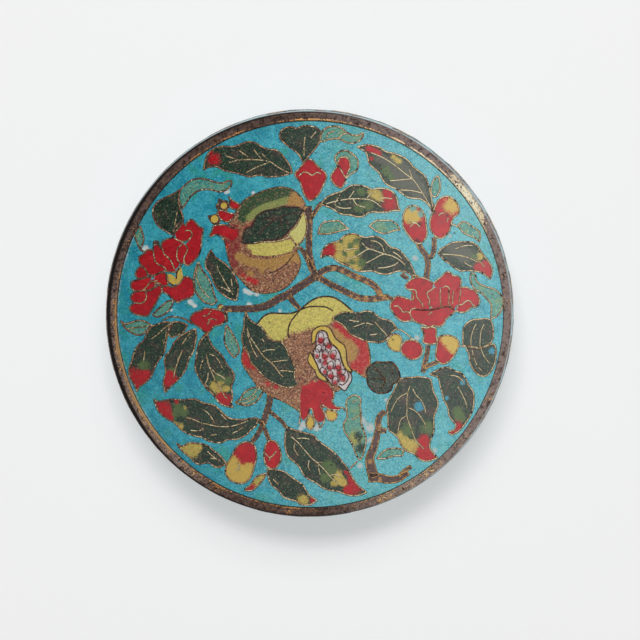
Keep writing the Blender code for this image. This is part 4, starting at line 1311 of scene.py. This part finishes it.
def rim_wear(places, crest, off):
    """Where the metal is gilt, polished and shaded: a bead along the enamel, flecks, a worn stretch at the
    lid's upper right painted with a cream highlight, a black line of painted shade round the outer corner,
    and a patina paler at the right, partly its own tone and partly a painted sheen."""
    angle = np.degrees(np.arctan2(places[:, 1], places[:, 0]))
    across = np.hypot(places[:, 0], places[:, 1]) - FIELD_RADIUS - off * np.cos(np.radians(angle))
    depth = np.abs(places[:, 2] - crest)
    on_rim = (depth < RIM_PROUD) & (across > -0.0004)
    strong, flecked, fair_and_sheen = (np.interp(angle % 360, *wear.T) for wear in (BEAD, FLECKS, FAIR_AND_SHEEN))
    wide = BEAD_HALF + BEAD_SPREAD * window(angle % 360, 188.0, 232.0, 12.0)
    bead = np.exp(-((across - BEAD_MIDDLE) / wide) ** 2) * on_rim * strong
    uneven = 0.5 + 0.5 * np.sin(np.radians(angle * 5 + 40)) * np.sin(np.radians(angle * 13))
    gilt = 0.37 + 0.08 * flecked * on_rim + (0.15 + 0.07 * uneven) * bead
    # Painted highlight: a polished stretch at 34 to 39 degrees, and the bead from 30 to 58 degrees, turned
    # cream.
    aside = np.abs(across - (POLISH_AND_HIGHLIGHT_MIDDLE + POLISH_AND_HIGHLIGHT_WAVE * np.cos(np.radians(angle * 9))))
    polish_and_highlight = window(angle, 34.0, 39.0, 12.0) * np.clip(1.6 - aside / POLISH_AND_HIGHLIGHT_HALF, 0, 1) * on_rim
    polish_and_highlight = np.maximum(polish_and_highlight, 0.75 * window(angle, 30.0, 58.0, 10.0) * bead) * (off > 0)
    # Painted shade: a black line round the rim's outer corner.
    corner_shade = window(across, RIM_WIDTH - 0.00015, RIM_WIDTH + 0.0002, 0.0002)
    corner_shade = corner_shade * np.clip(3.4 - depth / 0.0004, 0, 1) * (off > 0)
    return {"Gilt": gilt, "Polish": polish_and_highlight, "Soot": corner_shade, "Fair": fair_and_sheen}


def ground_values(places, edge, off):
    """The lid's ground: chalk in its blooms and along the rim; paler to the right, at the bottom and in a
    patch at the upper right, partly its own paler tone and partly a painted sheen; and brighter from left to
    right, a painted light."""
    x = places[:, 0] / PIXEL + PHOTO_CENTRE[0]
    y = PHOTO_CENTRE[1] - places[:, 1] / PIXEL
    from_rim = np.hypot(places[:, 0] - off, places[:, 1]) / PIXEL - edge / PIXEL
    angle = np.degrees(np.arctan2(places[:, 1], places[:, 0])) % 360
    along = 0.55 * window(angle, 160.0, 215.0, 25.0) + 0.35 * window(angle, 60.0, 130.0, 20.0)
    chalk = zone(np.column_stack([x, y]), CHALK) + along * np.exp(-(from_rim / 2.6) ** 2)
    # Painted sheen with the ground's own paler tone: a patch at the upper right, the bottom and the right
    # side.
    patch = 0.20 * np.exp(-((x - 440) ** 2 + (y - 190) ** 2) / 80 ** 2)
    low = 0.15 * np.clip((y - 370) / 60, 0, 1)
    pale = 0.05 + low + 0.37 * np.clip((x - 215) / 110, 0, 1) + patch
    return {"Chalk": [chalk], "Pale": [pale], "Faded": [places[:, 0] / RIM_RADIUS]}


def disc(name, material, height, crown, bottom, off, node, rings, steps, pictured=False):
    """A round enamel panel: rings from the axis out, its height a shallow parabola, flat underneath."""
    edge = FIELD_RADIUS - BED_GAP
    rings = np.linspace(0.0, 1.0, rings)
    top = np.column_stack([edge * rings, height + crown * (1.0 - (edge * rings / FIELD_RADIUS) ** 2)])
    profile = np.vstack([top, [(edge, bottom), (0.0, bottom)]])
    heap = Heap()
    turned(heap, profile, steps, off_centre=off * np.clip(profile[:, 0] / edge, 0, 1) ** 4)
    if pictured:
        heap.values.update(ground_values(heap.places[0], edge, off))
    heap.piece(name, material, "turquoise_enamel", node)


# Chalk on the sides: how much beside each rim, how much more at the lid's top right, where the extra is chalk
# and a painted sheen of the grazing side, and how far it goes
SIDE_CHALK = 0.35
LID_CHALK_AND_SHEEN = 0.45
CHALK_REACH = 0.0060


def side_panel(name, mouth, crest, node):
    """The enamel round a drum's side, flush with the metal above and below it."""
    toward = 1.0 if crest > mouth else -1.0
    low, high = mouth + toward * (BAND_HEIGHT + BED_GAP), crest - toward * (RIM_SIDE + BED_GAP)
    heights = np.linspace(low, high, 40)
    outer = np.column_stack([side_radius(heights, mouth, crest), heights])
    inner = np.column_stack([side_radius(heights, mouth, crest) - ENAMEL_THICK + BED_GAP, heights])[::-1]
    heap = Heap()
    turned(heap, np.vstack([outer, inner]))
    x, y, z = heap.places[0].T
    more = LID_CHALK_AND_SHEEN if mouth < crest else 0.0
    # The extra at the lid's top right paints the pale sheen of its grazing side, in the chalk's colour.
    most = SIDE_CHALK + more * window(np.degrees(np.arctan2(y, x)), 0.0, 90.0, 60.0)
    heap.values["Chalk"] = [most * np.exp(-((np.abs(z - crest) - RIM_SIDE) / CHALK_REACH) ** 2)]
    heap.piece(name, plain_turquoise, "turquoise_enamel", node)


# The scroll round the sides, in pixels: how deep its bays are, and its blossoms' and leaves' sizes

BAY = 7.0
PETAL_FOOT = 2.6
PETAL = (8.0, 6.6)
HEART = 2.4
LEAF_WIDE = 7.0


def teardrop(x, y, turn, long, wide):
    """Outline of a petal or leaf from its foot: half a cosine along it, and a sine across it."""
    t = np.linspace(0.0, math.tau, 18, endpoint=False)
    along, across = long * (1 - np.cos(t)) / 2, wide / 2 * np.sin(t) * np.sqrt((1.15 - np.cos(t)) / 2)
    return np.column_stack([x + along * math.cos(turn) - across * math.sin(turn),
                            y + along * math.sin(turn) + across * math.cos(turn)])


def scroll(prefix, mouth, crest, repeats=10, wave=9.0):
    """A stem in a sine wave round the drum, with a five-petalled blossom in each bay and leaves between."""
    face = side_face(mouth, crest)
    period = math.tau * (RIM_RADIUS + SWELL) / PIXEL / repeats
    kinds = {"dark_leaves": leaf_green, "red_cells": coral_red, "yellow_cells": warm_yellow}
    made = {kind: Heap() for kind in kinds}
    wires = Heap()

    def put(kind, outline):
        sides = sides_of(outline, True)
        add_cell(made[kind], sides, face, LAYERS[kind], **{key: () for key in ZONES[kind]})
        add_wire(wires, np.vstack([sides[0], sides[1][-2:0:-1]]), face, OUTLINE_HALF, True)

    for half in range(2 * repeats):
        way = 1 if half % 2 == 0 else -1
        start = period * half / 2
        middle = start + period / 4
        x = np.linspace(start, start + period / 2, 24)
        stem = np.column_stack([x, way * wave * np.sin((x - start) / period * math.tau)])
        add_wire(wires, stem, face, OUTLINE_HALF * 1.3)
        bay = -way * BAY
        stalk = line(start + 4, way * 1.5, start + 14, bay * 0.9, middle - 9, bay)
        add_wire(wires, smooth(stalk), face, VEIN_HALF)
        for petal in range(5):
            turn = math.tau * petal / 5 + math.pi / 2
            foot_x, foot_y = middle + PETAL_FOOT * math.cos(turn), bay + PETAL_FOOT * math.sin(turn)
            put("red_cells", teardrop(foot_x, foot_y, turn, *PETAL))
        t = np.linspace(0.0, math.tau, 10, endpoint=False)
        put("yellow_cells", np.column_stack([middle + HEART * np.cos(t), bay + HEART * np.sin(t)]))
        for foot, turn, long in ((0.09, 0.9, 15.0), (0.17, -0.5, 12.0), (0.36, 0.5, 13.0)):
            at = start + period * foot
            rise = way * wave * math.sin(foot * math.tau)
            put("dark_leaves", teardrop(at, rise, way * turn, long, LEAF_WIDE))
            tip = (at + 0.7 * long * math.cos(way * turn), rise + 0.7 * long * math.sin(way * turn))
            add_wire(wires, evenly(np.array([(at, rise), tip]), 8), face, VEIN_HALF)
    for kind, material in kinds.items():
        made[kind].piece(prefix + "_side_" + kind, material, "turquoise_enamel")
    wires.piece(prefix + "_side_wires", outline_wire, "gilt_copper")


# Camera, floor and light

CAMERA_RISE = 0.9
CAMERA_ASIDE = 0.030
EYE = Vector((CAMERA_ASIDE, CAMERA_ASIDE, LID_CREST + CAMERA_RISE))
AIM = Vector(((PHOTO_WIDTH / 2 - PHOTO_CENTRE[0]) * PIXEL, (PHOTO_CENTRE[1] - PHOTO_WIDTH / 2) * PIXEL,
              LID_CREST))
FLOOR_REACH = 6.0
FLOOR_GLOW = 0.430
LIGHT_RISE = LID_CREST + 1.6


def looking(eye, aim, up):
    """The matrix of something at eye whose -Z looks at aim, with its Y as near up as it can be."""
    back = (eye - aim).normalized()
    right = up.cross(back).normalized()
    matrix = Matrix((right, back.cross(right), back)).transposed().to_4x4()
    matrix.translation = eye
    return matrix


def camera():
    """Looks down on the lid, very nearly along its axis."""
    data = bpy.data.cameras.new("camera")
    data.sensor_width = 36.0
    data.lens = data.sensor_width * (EYE - AIM).length / (PHOTO_WIDTH * PIXEL)
    data.clip_start, data.clip_end = 0.01, 50.0
    made = bpy.data.objects.new("camera", data)
    bpy.context.scene.collection.objects.link(made)
    made.matrix_world = looking(EYE, AIM, Vector((0.0, 1.0, 0.0)))
    bpy.context.scene.camera = made


def softbox(name, place, aim, width, height, radiance, mirrored=True):
    """A rectangular light. Its power is its radiance times its area times pi."""
    data = bpy.data.lights.new(name, "AREA")
    data.shape = "RECTANGLE"
    data.size, data.size_y = width, height
    data.energy = radiance * width * height * math.pi
    made = bpy.data.objects.new(name, data)
    bpy.context.scene.collection.objects.link(made)
    made.visible_glossy = mirrored
    made.matrix_world = looking(Vector(place), Vector(aim), Vector((0.0, 0.0, 1.0)))


def studio():
    """A pale floor, a sky that is bright at the horizon and dim overhead, a key light from beyond the top,
    a sheen for the rim, and three veils that the lid mirrors as a faint haze."""
    bpy.context.scene.view_settings.view_transform = "Standard"
    world = bpy.data.worlds.new("studio")
    bpy.context.scene.world = world
    world.use_nodes = True
    n = Nodes(world.node_tree)
    way = n.put("ShaderNodeTexCoord", {}).outputs["Generated"]
    up = n.put("ShaderNodeSeparateXYZ", {0: way}).outputs["Z"]
    background = world.node_tree.nodes["Background"]
    n.join(n.mix(n.rise(up, 0.12, 0.66), (0.86, 0.86, 0.86, 1.0), (0.03, 0.03, 0.03, 1.0)),
           background.inputs["Color"])

    mesh = bpy.data.meshes.new("floor")
    corners = [(FLOOR_REACH * x, FLOOR_REACH * y, 0) for x, y in ((-1, -1), (1, -1), (1, 1), (-1, 1))]
    mesh.from_pydata(corners, [], [(0, 1, 2, 3)])
    floor = bpy.data.objects.new("floor", mesh)
    bpy.context.scene.collection.objects.link(floor)
    paper = bpy.data.materials.new("floor_paper")
    paper.use_nodes = True
    shader = paper.node_tree.nodes["Principled BSDF"]
    shader.inputs["Base Color"].default_value = (0.60, 0.60, 0.60, 1.0)
    shader.inputs["Roughness"].default_value = 0.9
    shader.inputs["Specular IOR Level"].default_value = 0.0
    shader.inputs["Emission Color"].default_value = (1.0, 1.0, 1.0, 1.0)
    shader.inputs["Emission Strength"].default_value = FLOOR_GLOW
    mesh.materials.append(paper)

    lid = (0.0, 0.0, LID_CREST)
    softbox("key", (0.0, 0.40, 1.60), lid, 0.40, 0.20, 44.0, mirrored=False)
    softbox("sheen", (0.05, 0.60, 1.50), lid, 0.6, 0.3, 7.0)
    softbox("veil", (0.16, -0.11, LIGHT_RISE), lid, 0.30, 0.26, 2.2)
    softbox("upper_veil", (0.16, 0.14, LIGHT_RISE), lid, 0.30, 0.24, 3.8)
    softbox("low_veil", (-0.09, -0.22, LIGHT_RISE), lid, 0.44, 0.22, 0.95)


metal_shells()
disc("lid_ground", turquoise, FIELD_EDGE, FIELD_CROWN, field_low[2], RIM_OFF_CENTRE, "lid_top_enamel",
     rings=150, steps=500, pictured=True)
disc("underside_panel", plain_turquoise, RIM_PROUD, UNDERSIDE_DISH, underside_high[2], 0.0,
     "underside_enamel", rings=30, steps=TURN_STEPS)
side_panel("lid_side_panel", LID_MOUTH, LID_CREST, "lid_side_enamel")
side_panel("base_side_panel", BASE_MOUTH, BASE_CREST, "base_side_enamel")
picture()
scroll("lid", LID_MOUTH, LID_CREST)
scroll("base", BASE_MOUTH, BASE_CREST)
camera()
studio()
